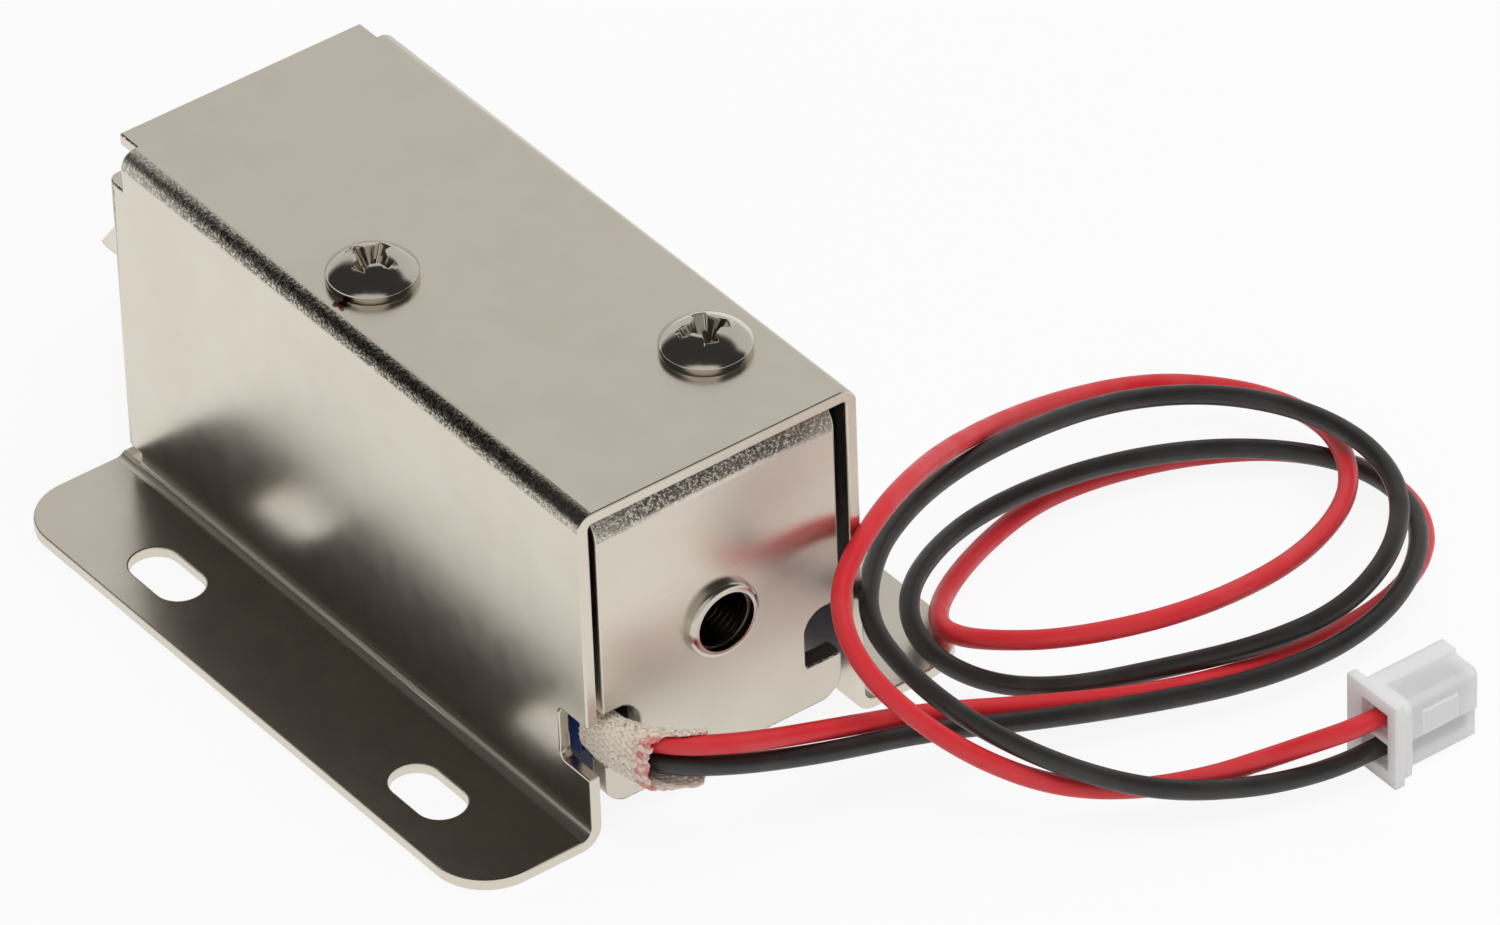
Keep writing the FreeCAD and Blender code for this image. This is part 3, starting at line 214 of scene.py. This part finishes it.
lead_thickness = 0.0014
lead_lines = {}
for colour, route, finish, length in (
    ("red", red_route, red_pvc, 0.2710),
    ("black", black_route, black_pvc, 0.2646),
):
    line = bpy.data.curves.new(colour + "_lead", "CURVE")
    line.dimensions = "3D"
    strand = line.splines.new("NURBS")
    strand.points.add(len(route) - 1)
    for point, place in zip(strand.points, route):
        point.co = (*place, 1)
    strand.order_u = 3
    strand.use_endpoint_u = True
    line.resolution_u = 12
    lead = bpy.data.objects.new(colour + "_lead", line)
    bpy.context.scene.collection.objects.link(lead)
    bpy.context.view_layer.update()
    bare = bpy.data.meshes.new_from_object(lead)
    lead_lines[colour] = [vertex.co.copy() for vertex in bare.vertices]
    bpy.data.meshes.remove(bare)
    line.bevel_depth = lead_thickness / 2
    line.bevel_resolution = 6
    line.use_fill_caps = True
    dress(lead, finish)
    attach(lead, "case")
    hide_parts("lead_" + colour)

# FLOOR AND LIGHT
# A white table top that fades to white, one wide soft lamp overhead, and a studio that is
# pale round the lock and dark overhead, on its left and behind it, which the plate mirrors.


def reckon(finish, operation, first, second=0.0):
    """One step of arithmetic."""
    node = add_node(finish, "Math", {0: first, 1: second}, operation=operation)
    return node.outputs[0]


table_radius, table_drop, table_corners = 2.5, 0.00005, 64
shaded_side, shaded_end = 0.0092, 0.0210
soft_box_place = Vector((-0.18, -0.10, 0.75))
dark_side = (0.54, 0.61, 0.56)
dark_overhead = ((0.22, 0.36, 0.90), (-0.08, 0.05, 1.0), (-0.30, -0.25, 0.92), (-0.76, -0.46, 0.45))
pale_strength, dark_strength = 0.69, 0.045

floor_mesh = bpy.data.meshes.new("table_top")
rim = []
for corner in range(table_corners):
    turned = math.tau * corner / table_corners
    rim.append(Vector((math.cos(turned), math.sin(turned), 0)) * table_radius
               + Vector((0, 0, -table_drop)))
floor_mesh.from_pydata(rim, [], [list(range(table_corners))])
table_top = bpy.data.objects.new("table_top", floor_mesh)
bpy.context.scene.collection.objects.link(table_top)
paper = bpy.data.materials.new("white_paper")
paper.use_nodes = True
paper.node_tree.nodes.clear()
matt = add_node(paper, "BsdfDiffuse", {"Color": (0.90, 0.90, 0.90, 1)})
glow = add_node(paper, "Emission", {"Color": (1, 1, 1, 1), "Strength": 1.0})
seen = add_node(paper, "LightPath")
direct = reckon(paper, "MAXIMUM", seen.outputs["Is Camera Ray"], seen.outputs["Is Glossy Ray"])
direct = reckon(paper, "MAXIMUM", direct, seen.outputs["Is Transmission Ray"])
# the table stays in the dark where the case stands over it
ground = add_node(paper, "SeparateXYZ", {0: add_node(paper, "NewGeometry").outputs["Position"]})
beside = reckon(paper, "GREATER_THAN", reckon(paper, "ABSOLUTE", ground.outputs["Y"]), shaded_side)
beyond = reckon(paper, "GREATER_THAN", reckon(paper, "ABSOLUTE", ground.outputs["X"]), shaded_end)
direct = reckon(paper, "MULTIPLY", direct, reckon(paper, "MAXIMUM", beside, beyond))
fade = add_node(paper, "MixShader", {0: reckon(paper, "MULTIPLY", direct, 0.9), 1: matt.outputs[0],
                                     2: glow.outputs[0]})
feed(paper, fade.outputs[0], add_node(paper, "OutputMaterial").inputs["Surface"])
dress(table_top, paper)

studio = bpy.data.worlds.new("studio")
bpy.context.scene.world = studio
studio.use_nodes = True
studio.node_tree.nodes.clear()
towards = add_node(studio, "TexCoord").outputs["Generated"]


def lobe(centre, inner, outer):
    """1 towards a direction, falling to 0 between two cosines from it."""
    facing = add_node(studio, "VectorMath", {0: towards, 1: Vector(centre).normalized()},
                      operation="DOT_PRODUCT").outputs["Value"]
    return steps(studio, facing, outer, inner)


height = add_node(studio, "SeparateXYZ", {0: towards}).outputs["Z"]
dark = lobe(dark_side, 0.90, 0.62)
for centre in dark_overhead:
    dark = reckon(studio, "MAXIMUM", dark, lobe(centre, 0.92, 0.76))
dark = reckon(studio, "MULTIPLY", dark, steps(studio, height, 0.04, 0.20))
shade = steps(studio, dark, 0.0, 1.0, pale_strength, dark_strength)
dim = add_node(studio, "Background", {"Color": (1.0, 0.995, 0.985, 1), "Strength": shade})
bright = add_node(studio, "Background", {"Color": (1, 1, 1, 1), "Strength": 1.0})
looked_at = add_node(studio, "LightPath").outputs["Is Camera Ray"]
sky = add_node(studio, "MixShader", {0: looked_at, 1: dim.outputs[0], 2: bright.outputs[0]})
feed(studio, sky.outputs[0], add_node(studio, "OutputWorld").inputs["Surface"])

soft_box = bpy.data.lights.new("soft_box", "AREA")
soft_box.shape = "SQUARE"
soft_box.size = 0.7
soft_box.energy = 4.0
soft_box_stand = bpy.data.objects.new("soft_box", soft_box)
soft_box_stand.location = soft_box_place
soft_box_stand.rotation_euler = soft_box_place.to_track_quat("Z", "Y").to_euler()
soft_box_stand.visible_glossy = False
bpy.context.scene.collection.objects.link(soft_box_stand)

# CASE COVER
# One strip of 0.9 mm steel, punched, folded to a top, two walls, two feet and two front lips,
# then nickel plated. The plate is clear on the flats and pebbled where the folds stretched it;
# the pits of the pebbling are painted dark, as painted shade.


def fold_share(finish, hinge):
    """1 on the folds round one axis, 0 on the flats and on the other folds."""
    facing = add_node(finish, "NewGeometry").outputs["Normal"]
    facing = add_node(finish, "VectorMath", {0: facing}, operation="ABSOLUTE").outputs[0]
    parts = add_node(finish, "SeparateXYZ", {0: facing})
    most = reckon(finish, "MAXIMUM", parts.outputs[1], parts.outputs[2])
    most = reckon(finish, "MAXIMUM", parts.outputs[0], most)
    return reckon(finish, "MULTIPLY", steps(finish, most, 0.999, 0.97),
                  steps(finish, parts.outputs[hinge], 0.3, 0.1))


def spot(finish):
    """Where on the piece this is, as X, Y and Z in metres."""
    place = add_node(finish, "TexCoord").outputs["Object"]
    return add_node(finish, "SeparateXYZ", {0: place}).outputs


def metal_finish(name, colour, dull, low=0.18, high=0.28):
    """Plated or oiled metal: slight clouds in colour and shine, and fine grain."""
    finish = new_finish(name, Metallic=1.0)
    clouds = grain(finish, 0.006, 4.0, 0.6)
    set_colour(finish, mixed(finish, steps(finish, clouds, 0.3, 0.75), colour, dull))
    cloud_roughness(finish, 0.0022, 3.0, low, high)
    raise_surface(finish, grain(finish, 0.00018, 3.0, 0.7), 0.000002, 0.5)
    return finish


def so_far(finish, socket):
    """What a finish already has on one of its sockets."""
    return finish.node_tree.nodes["Principled BSDF"].inputs[socket].links[0].from_socket


def roughen_and_shade_folds(finish, depth, share):
    """Fine pits and pebbles where the fold stretched the sheet, with painted shade in the pits."""
    speckle = grain(finish, 0.00022, 2.0, 0.8)
    raise_surface(finish, reckon(finish, "MULTIPLY", speckle, share), depth)
    # painted shade: the hollows of the pebbles are coloured dark
    pit_shade = reckon(finish, "MULTIPLY", share, steps(finish, speckle, 0.64, 0.44))
    set_colour(finish, mixed(finish, pit_shade, so_far(finish, "Base Color"), (0.13, 0.12, 0.10)))


def soften_edges(piece, width, steep=50):
    """Break the sharp edges of a piece, as tumbling and plating leave them."""
    piece.modifiers.new("joined", "WELD").merge_threshold = 1e-6
    flats = piece.modifiers.new("whole_flats", "DECIMATE")
    flats.decimate_type, flats.angle_limit = "DISSOLVE", math.radians(0.5)
    bevel = piece.modifiers.new("broken_edges", "BEVEL")
    bevel.width, bevel.segments = width, 2
    bevel.limit_method, bevel.angle_limit = "ANGLE", math.radians(steep)
    bevel.use_clamp_overlap = False


case_nickel = metal_finish("case_nickel", (0.71, 0.655, 0.565), (0.68, 0.625, 0.535), 0.24, 0.265)
place, folds = spot(case_nickel), fold_share(case_nickel, "X")
# the upper left fold is rough, with painted shade in its pits; the others came out clear
upper_left = reckon(case_nickel, "MULTIPLY", steps(case_nickel, place["Y"], -0.004, 0.004),
                    steps(case_nickel, place["Z"], 0.010, 0.020))
roughen_and_shade_folds(case_nickel, 0.00004, reckon(case_nickel, "MULTIPLY", folds, upper_left))
# the folds at the feet are dull
feet_folds = reckon(case_nickel, "MULTIPLY", folds, steps(case_nickel, place["Z"], 0.006, 0.003))
duller = reckon(case_nickel, "MULTIPLY", feet_folds, 0.2)
set_roughness(case_nickel, reckon(case_nickel, "ADD", so_far(case_nickel, "Roughness"), duller))
# a brown smear where the front screw was driven
smear_place, smear_colour = (0.0028, 0.0096, 0.0273), (0.10, 0.03, 0.02)
smear_outer, smear_inner = 0.00125, 0.00095
away = add_node(case_nickel, "VectorMath", {0: add_node(case_nickel, "TexCoord").outputs["Object"],
                                            1: smear_place}, operation="DISTANCE").outputs["Value"]
ragged = reckon(case_nickel, "MULTIPLY", grain(case_nickel, 0.0004), 0.0012)
smear = steps(case_nickel, reckon(case_nickel, "ADD", away, ragged), smear_outer, smear_inner)
set_colour(case_nickel, mixed(case_nickel, smear, so_far(case_nickel, "Base Color"), smear_colour))
dress(nodes["case_cover"], case_nickel)
soften_edges(nodes["case_cover"], 0.00012)

# COIL FRAME
# A strip of 1.5 mm soft iron bent to an upside down U and nickel plated. It carries the flux
# round the coil, its rear plate closes the case, and both cover screws bite in its top.
frame_nickel = metal_finish("frame_nickel", (0.70, 0.645, 0.555), (0.67, 0.615, 0.53))
# the folds are pebbled, with painted shade in their pits
roughen_and_shade_folds(frame_nickel, 0.0002, fold_share(frame_nickel, "Y"))
# the rear plate is dull below and clear above
set_roughness(frame_nickel, steps(frame_nickel, spot(frame_nickel)["Z"], 0.012, 0.019, 0.42, 0.24))
dress(nodes["coil_frame"], frame_nickel)
soften_edges(nodes["coil_frame"], 0.00015)

# COVER SCREWS
# Two pan head M3 screws of nickel plated steel with a cross recess, polished brighter than the
# case. They go through its top and bite in the threads of the coil frame.
screw_nickel = metal_finish("screw_nickel", (0.66, 0.61, 0.535), (0.60, 0.55, 0.48), 0.08, 0.16)
for name in ("cover_screw_front", "cover_screw_rear"):
    dress(nodes[name], screw_nickel)
    soften_edges(nodes[name], 0.00006, 35)

# FIXED CORE
# The fixed pole of the solenoid, turned from soft iron and plated. Its hollow end is pressed
# over behind the rear plate and rivets coil and frame together.
core_nickel = metal_finish("core_nickel", (0.66, 0.61, 0.53), (0.58, 0.53, 0.46), 0.14, 0.26)
dress(nodes["fixed_core"], core_nickel)

# LATCH BOLT AND PIN
# The bolt is a zinc casting, ground and nickel plated, with a slant tip and a square collar.
# A steel pin across it holds the neck of the plunger.
bolt_nickel = metal_finish("bolt_nickel", (0.74, 0.69, 0.63), (0.69, 0.64, 0.58), 0.16, 0.26)
for name in ("latch_bolt", "bolt_pin"):
    dress(nodes[name], bolt_nickel)
soften_edges(nodes["latch_bolt"], 0.0003, 30)

# PLUNGER
# The moving pole, turned from soft iron, with a cone nose that seats in the fixed core. It
# slides in the guide tube, and its neck hangs on the pin of the bolt.
plunger_steel = metal_finish("plunger_steel", (0.56, 0.54, 0.50), (0.48, 0.46, 0.43), 0.18, 0.32)
dress(nodes["plunger"], plunger_steel)

# RETURN SPRING
# A compression spring of 0.7 mm spring steel wire, 11 mm across the middle of the wire, with
# its end turns closed. It sits between the coil frame and the collar of the bolt.
wire_radius, spring_radius, axis_height = 0.00035, 0.0055, 0.0135
spring_ends, spring_turns, closed_turn = (0.00900, 0.02260), 7.0, 0.9
tight_pitch, spring_points = wire_radius * 2.04, 40


def join_rings(name, rings, closed=False):
    """Skin rings of points into a smooth tube, capped at both ends unless it is closed."""
    count = len(rings[0])
    faces = []
    for r in range(len(rings) if closed else len(rings) - 1):
        near, far = r * count, (r + 1) % len(rings) * count
        for c in range(count):
            n = (c + 1) % count
            faces.append((near + c, near + n, far + n, far + c))
    if not closed:
        faces.append(tuple(reversed(range(count))))
        faces.append(tuple(range((len(rings) - 1) * count, len(rings) * count)))
    mesh = bpy.data.meshes.new(name)
    mesh.from_pydata([point for ring in rings for point in ring], [], faces)
    mesh.polygons.foreach_set("use_smooth", [True] * len(mesh.polygons))
    piece = bpy.data.objects.new(name, mesh)
    bpy.context.scene.collection.objects.link(piece)
    return piece


def sweep(points, radius, count):
    """Rings of a round wire along a line of points."""
    rings = []
    side = Vector((0, 0, 1))
    for i, point in enumerate(points):
        along = (points[min(i + 1, len(points) - 1)] - points[max(i - 1, 0)]).normalized()
        side = (side - along * side.dot(along)).normalized()
        other = along.cross(side)
        rings.append([point + (side * math.cos(turned) + other * math.sin(turned)) * radius
                      for turned in (math.tau * c / count for c in range(count))])
    return rings


coil_points = []
open_turns = spring_turns - 2 * closed_turn
open_pitch = (spring_ends[1] - spring_ends[0] - 2 * closed_turn * tight_pitch) / open_turns
travel = spring_ends[0]
for step in range(int(spring_turns * spring_points) + 1):
    turned = step / spring_points
    coil_points.append(Vector((travel, spring_radius * math.sin(math.tau * turned),
                               axis_height - spring_radius * math.cos(math.tau * turned))))
    rate = tight_pitch if min(turned, spring_turns - turned) < closed_turn else open_pitch
    travel += rate / spring_points
spring = join_rings("return_spring_coil", sweep(coil_points, wire_radius, 10))
spring_finish = metal_finish("spring_steel", (0.52, 0.51, 0.49), (0.42, 0.41, 0.39), 0.24, 0.38)
dress(spring, spring_finish)
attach(spring, "case")
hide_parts("return_spring")
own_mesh(spring)

# THREAD OF THE RIVET
# The hollow end of the fixed core is tapped from behind. The thread is cut in the soft iron
# after plating, and its colour is painted dark brown as painted shade in the bore.
thread_pitch, crest_radius, root_radius, outer_radius = 0.0005, 0.00214, 0.00222, 0.002245
thread_from, thread_to, thread_rings, thread_points = -0.0255, -0.0175, 96, 40
inside, outside = [], []
for step in range(thread_rings + 1):
    travel = thread_from + (thread_to - thread_from) * step / thread_rings
    inner_ring, outer_ring = [], []
    for c in range(thread_points):
        turned = math.tau * c / thread_points
        rise = abs(2 * ((travel / thread_pitch + c / thread_points) % 1) - 1)
        reach = Vector((0, math.cos(turned), math.sin(turned)))
        middle = Vector((travel, 0, axis_height))
        inner_ring.append(middle + reach * (crest_radius + (root_radius - crest_radius) * rise))
        outer_ring.append(middle + reach * outer_radius)
    inside.append(inner_ring)
    outside.append(outer_ring)
# the plain outer side needs few rings
thread = join_rings("rivet_thread", inside + outside[::-8], closed=True)
# painted shade: the thread is coloured dark brown for the shade in the bore
shaded_bore_steel = metal_finish("shaded_bore_steel", (0.24, 0.20, 0.165), (0.15, 0.125, 0.10), 0.18, 0.34)
dress(thread, shaded_bore_steel)
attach(thread, "case")

# BOBBIN, WINDING AND TAPE
# A black nylon bobbin wound with enamelled copper wire. Blue polyester tape covers the winding
# and the splices, and its edge shows through the lead opening.


def cloud_colour(finish, size, detail, first, second):
    """Let the colour drift between two tones, in clouds of one size."""
    set_colour(finish, mixed(finish, grain(finish, size, detail), first, second))


bobbin_nylon = new_finish("bobbin_nylon", Roughness=0.5)
cloud_colour(bobbin_nylon, 0.003, 3.0, (0.014, 0.013, 0.013), (0.026, 0.025, 0.024))
raise_surface(bobbin_nylon, grain(bobbin_nylon, 0.0003, 2.0), 0.00002, 0.4)
dress(nodes["bobbin"], bobbin_nylon)

wire_spacing = 0.00022
wire_enamel = new_finish("wire_enamel", Metallic=0.8, Roughness=0.34, Coat_Weight=0.6)
place = add_node(wire_enamel, "TexCoord").outputs["Object"]
turns_and_groove_shade = add_node(wire_enamel, "TexWave",
                 {"Vector": place, "Scale": 1 / wire_spacing / 20 * math.tau},
                 bands_direction="X").outputs["Fac"]
# painted shade: the grooves between the turns are coloured darker
set_colour(wire_enamel, mixed(wire_enamel, turns_and_groove_shade, (0.30, 0.09, 0.03), (0.52, 0.19, 0.07)))
raise_surface(wire_enamel, turns_and_groove_shade, 0.00006)
dress(nodes["coil_winding"], wire_enamel)

blue_tape = new_finish("blue_tape", Coat_Weight=0.5, Coat_Roughness=0.12, Roughness=0.32)
cloud_colour(blue_tape, 0.002, 2.0, (0.012, 0.05, 0.30), (0.02, 0.08, 0.40))
raise_surface(blue_tape, grain(blue_tape, 0.0008, 2.0, 0.5, (1, 0.2, 0.2)), 0.00004, 0.6)
dress(nodes["coil_tape"], blue_tape)

# GUIDE TUBE
# A tube of drawn brass, pressed in the bobbin. The plunger slides in it, and the draw marks run
# along it.
tube_brass = new_finish("tube_brass", Metallic=1.0)
cloud_colour(tube_brass, 0.003, 3.0, (0.66, 0.43, 0.16), (0.58, 0.37, 0.14))
cloud_roughness(tube_brass, 0.0006, 3.0, 0.2, 0.36, (0.1, 1, 1))
dress(nodes["guide_tube"], tube_brass)

# BUMPER
# A frame punched from black rubber sheet, laid behind the front lips. The collar of the bolt
# lands on it when the spring throws the bolt out.
bumper_rubber = new_finish("bumper_rubber", Roughness=0.75)
cloud_colour(bumper_rubber, 0.0015, 3.0, (0.02, 0.02, 0.02), (0.04, 0.04, 0.038))
raise_surface(bumper_rubber, grain(bumper_rubber, 0.0002, 2.0), 0.00002, 0.6)
dress(nodes["bumper_washer"], bumper_rubber)

# SPLICES
# Two tinned copper crimp sleeves, one on each lead. They join the leads to the ends of the coil
# wire and lie under the tape, inside the case.
splice_tin = new_finish("splice_tin", Metallic=1.0)
cloud_colour(splice_tin, 0.0008, 3.0, (0.70, 0.69, 0.66), (0.52, 0.51, 0.49))
cloud_roughness(splice_tin, 0.0004, 3.0, 0.25, 0.45)
raise_surface(splice_tin, grain(splice_tin, 0.0003, 2.0), 0.00003, 0.5)
for name in ("splice_red", "splice_black"):
    dress(nodes[name], splice_tin)

# LEAD SLEEVE
# A braided glass fibre sleeve, pulled over both leads where they pass the sheet edges. Its end
# is cut slantwise, has frayed and opened, and carries a few red tracer threads.
braid_across, braid_along = 144, 120
sleeve_from, sleeve_to = 0.0036, 0.0126
sleeve_length = sleeve_to - sleeve_from
near_cut = 0.37
strand_count, strand_pitch, strand_height = 24, 0.0034, 0.00018
lump_height, cloth_thickness = 0.00008, 0.00016
squareness = 2.4
tracers, tracer_width = (0.8, 0.4, -0.1, -0.62), 0.13


def middle_line(first, second, start, end):
    """Points midway between two lines, with the way from one to the other."""
    found, gone = [], 0.0
    for before, here in zip(first, first[1:]):
        gone += (here - before).length
        if start <= gone <= end:
            other = min(second, key=lambda point: (point - here).length)
            found.append(((here + other) / 2, (here - other)))
    return found


spine = middle_line(lead_lines["red"], lead_lines["black"], sleeve_from, sleeve_to)


def along_spine(share):
    """The middle of the leads, the way from black to red, and the way ahead."""
    place = share * (len(spine) - 1)
    k = min(int(place), len(spine) - 2)
    rest = place - k
    centre = spine[k][0].lerp(spine[k + 1][0], rest)
    apart = spine[k][1].lerp(spine[k + 1][1], rest)
    low, high = spine[max(k - 2, 0)][0], spine[min(k + 3, len(spine) - 1)][0]
    return centre, apart, (high - low).normalized()


def cut_back(facing):
    """1 on the near side, which is cut back, and 0 on the far side, which reaches on."""
    cut = min(1.0, max(0.0, (facing + 0.25) / 0.75))
    return cut * cut * (3 - 2 * cut)


def strand_lift(angle, along):
    """How far a strand stands up here: 0 between two strands, 1 on the crest of one."""
    run = along * sleeve_length / strand_pitch * strand_count / 6
    one, two = angle / math.tau * strand_count + run, angle / math.tau * strand_count - run
    over = (math.floor(one) + math.floor(two)) % 2 == 0
    return 1 - (2 * ((one if over else two) % 1) - 1) ** 2


def bulge(along, middle, spread):
    """1 at one place along the sleeve, falling off to both sides."""
    return math.exp(-((along - middle) / spread) ** 2)


rings, red_tints, strand_shades = [], [], []
for i in range(braid_along + 1):
    share = i / braid_along
    ring = []
    for j in range(braid_across):
        angle = math.tau * j / braid_across
        facing, lie = math.cos(angle), math.sin(angle)
        cut = cut_back(facing)
        ragged = noise.noise(Vector((facing * 3.2, lie * 3.2, 3.1))) * 0.05 * share
        along = share * (1.0 - near_cut * cut) + ragged
        centre, apart, ahead_here = along_spine(min(max(along, 0.0), 1.0))
        up_here = (apart - ahead_here * apart.dot(ahead_here)).normalized()
        out_here = ahead_here.cross(up_here)
        # it fits closely on top and on the far side, is loose on the near side and sags below
        loose = 0.0001
        if facing > 0:
            flare = max(0.0, share - 0.8) * 5 * cut
            belly = 0.0001 if lie > 0 else 0.0004
            loose = 0.0003 + belly * bulge(along, 0.52, 0.24) + 0.0003 * flare
        slack = 0.00002 if lie > 0 else 0.00015 + 0.0003 * bulge(along, 0.72, 0.28)
        spoon = 0.0014 * max(0.0, share - 0.55) * max(0.0, -lie)
        flat = 1.0 / (abs(facing) ** squareness + abs(lie) ** squareness) ** (1 / squareness)
        wide = flat * (lead_thickness / 2 + loose)
        tall = flat * (apart.length / 2 + lead_thickness / 2 + slack)
        lift = strand_lift(angle, along)
        lumps = noise.noise(Vector((facing * 3, lie * 3, along * 9)))
        swell = strand_height * lift + lump_height * lumps * (0.5 + share)
        ring.append(centre + out_here * (facing * (wide + swell) + spoon)
                    + up_here * lie * (tall + swell))
        traced = any(abs(lie - tracer) < tracer_width for tracer in tracers)
        marked = traced and cut > 0.6 and share > 0.86
        # the tracer threads are dyed red; the rest of the braid gets a faint red tint that grows
        # towards the open end
        red_tints.append(0.8 if marked else 0.25 * max(0.0, share - 0.6) / 0.4)
        # the lift is kept for the painted light and shade on the strands
        strand_shades.append(lift)
    rings.append(ring)
sleeve = join_rings("braided_sleeve", rings)
# both ends are open
tube = bmesh.new()
tube.from_mesh(sleeve.data)
ends = [face for face in tube.faces if len(face.verts) > 4]
bmesh.ops.delete(tube, geom=ends, context="FACES_ONLY")
tube.to_mesh(sleeve.data)
tube.free()
for name, values in (("red_tint", red_tints), ("strand_shade", strand_shades)):
    sleeve.data.attributes.new(name, "FLOAT", "POINT").data.foreach_set("value", values)
cloth = sleeve.modifiers.new("cloth", "SOLIDIFY")
cloth.thickness, cloth.offset = cloth_thickness, -1.0
glass_braid = new_finish("glass_braid", Roughness=0.45, Coat_Weight=0.2, Coat_Roughness=0.25)
# painted highlight and shade: the strand crests are coloured paler and the hollows between them
# darker
strand_shade = add_node(glass_braid, "Attribute", attribute_name="strand_shade").outputs["Fac"]
painted_strand_light = steps(glass_braid, strand_shade, 0.1, 0.8)
plain = mixed(glass_braid, painted_strand_light, (0.90, 0.78, 0.64), (1.0, 0.90, 0.77))
pale = steps(glass_braid, grain(glass_braid, 0.0009, 3.0), 0.4, 0.8, 0.0, 0.5)
plain = mixed(glass_braid, pale, plain, (0.99, 0.91, 0.79))
tinted = add_node(glass_braid, "Attribute", attribute_name="red_tint").outputs["Fac"]
patches = steps(glass_braid, grain(glass_braid, 0.0008, 2.0), 0.3, 0.55)
tinted = reckon(glass_braid, "MULTIPLY", tinted, patches)
set_colour(glass_braid, mixed(glass_braid, tinted, plain, (0.78, 0.13, 0.14)))
raise_surface(glass_braid, grain(glass_braid, 0.00012, 3.0), 0.00004, 0.6)
dress(sleeve, glass_braid)
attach(sleeve, "case")
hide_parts("lead_sleeve")

# PLUG
# A two way plug housing moulded in natural nylon, a little see-through, with a flange at the
# wire end. Each lead ends in a tinned crimp contact inside it.
plug_nylon = new_finish("plug_nylon", Roughness=0.42, Specular_IOR_Level=0.4, Subsurface_Weight=0.8,
                        Subsurface_Scale=0.001, Subsurface_Radius=(1.0, 0.97, 0.97))
cloud_colour(plug_nylon, 0.002, 2.0, (0.96, 0.95, 0.955), (0.98, 0.97, 0.975))
raise_surface(plug_nylon, grain(plug_nylon, 0.0003, 2.0), 0.00001, 0.4)
dress(nodes["connector_housing"], plug_nylon)
soften_edges(nodes["connector_housing"], 0.00007)
contact_tin = new_finish("contact_tin", Metallic=1.0)
cloud_colour(contact_tin, 0.0007, 3.0, (0.74, 0.72, 0.68), (0.60, 0.58, 0.55))
cloud_roughness(contact_tin, 0.0004, 2.0, 0.2, 0.35)
for name in ("contact_red", "contact_black"):
    dress(nodes[name], contact_tin)
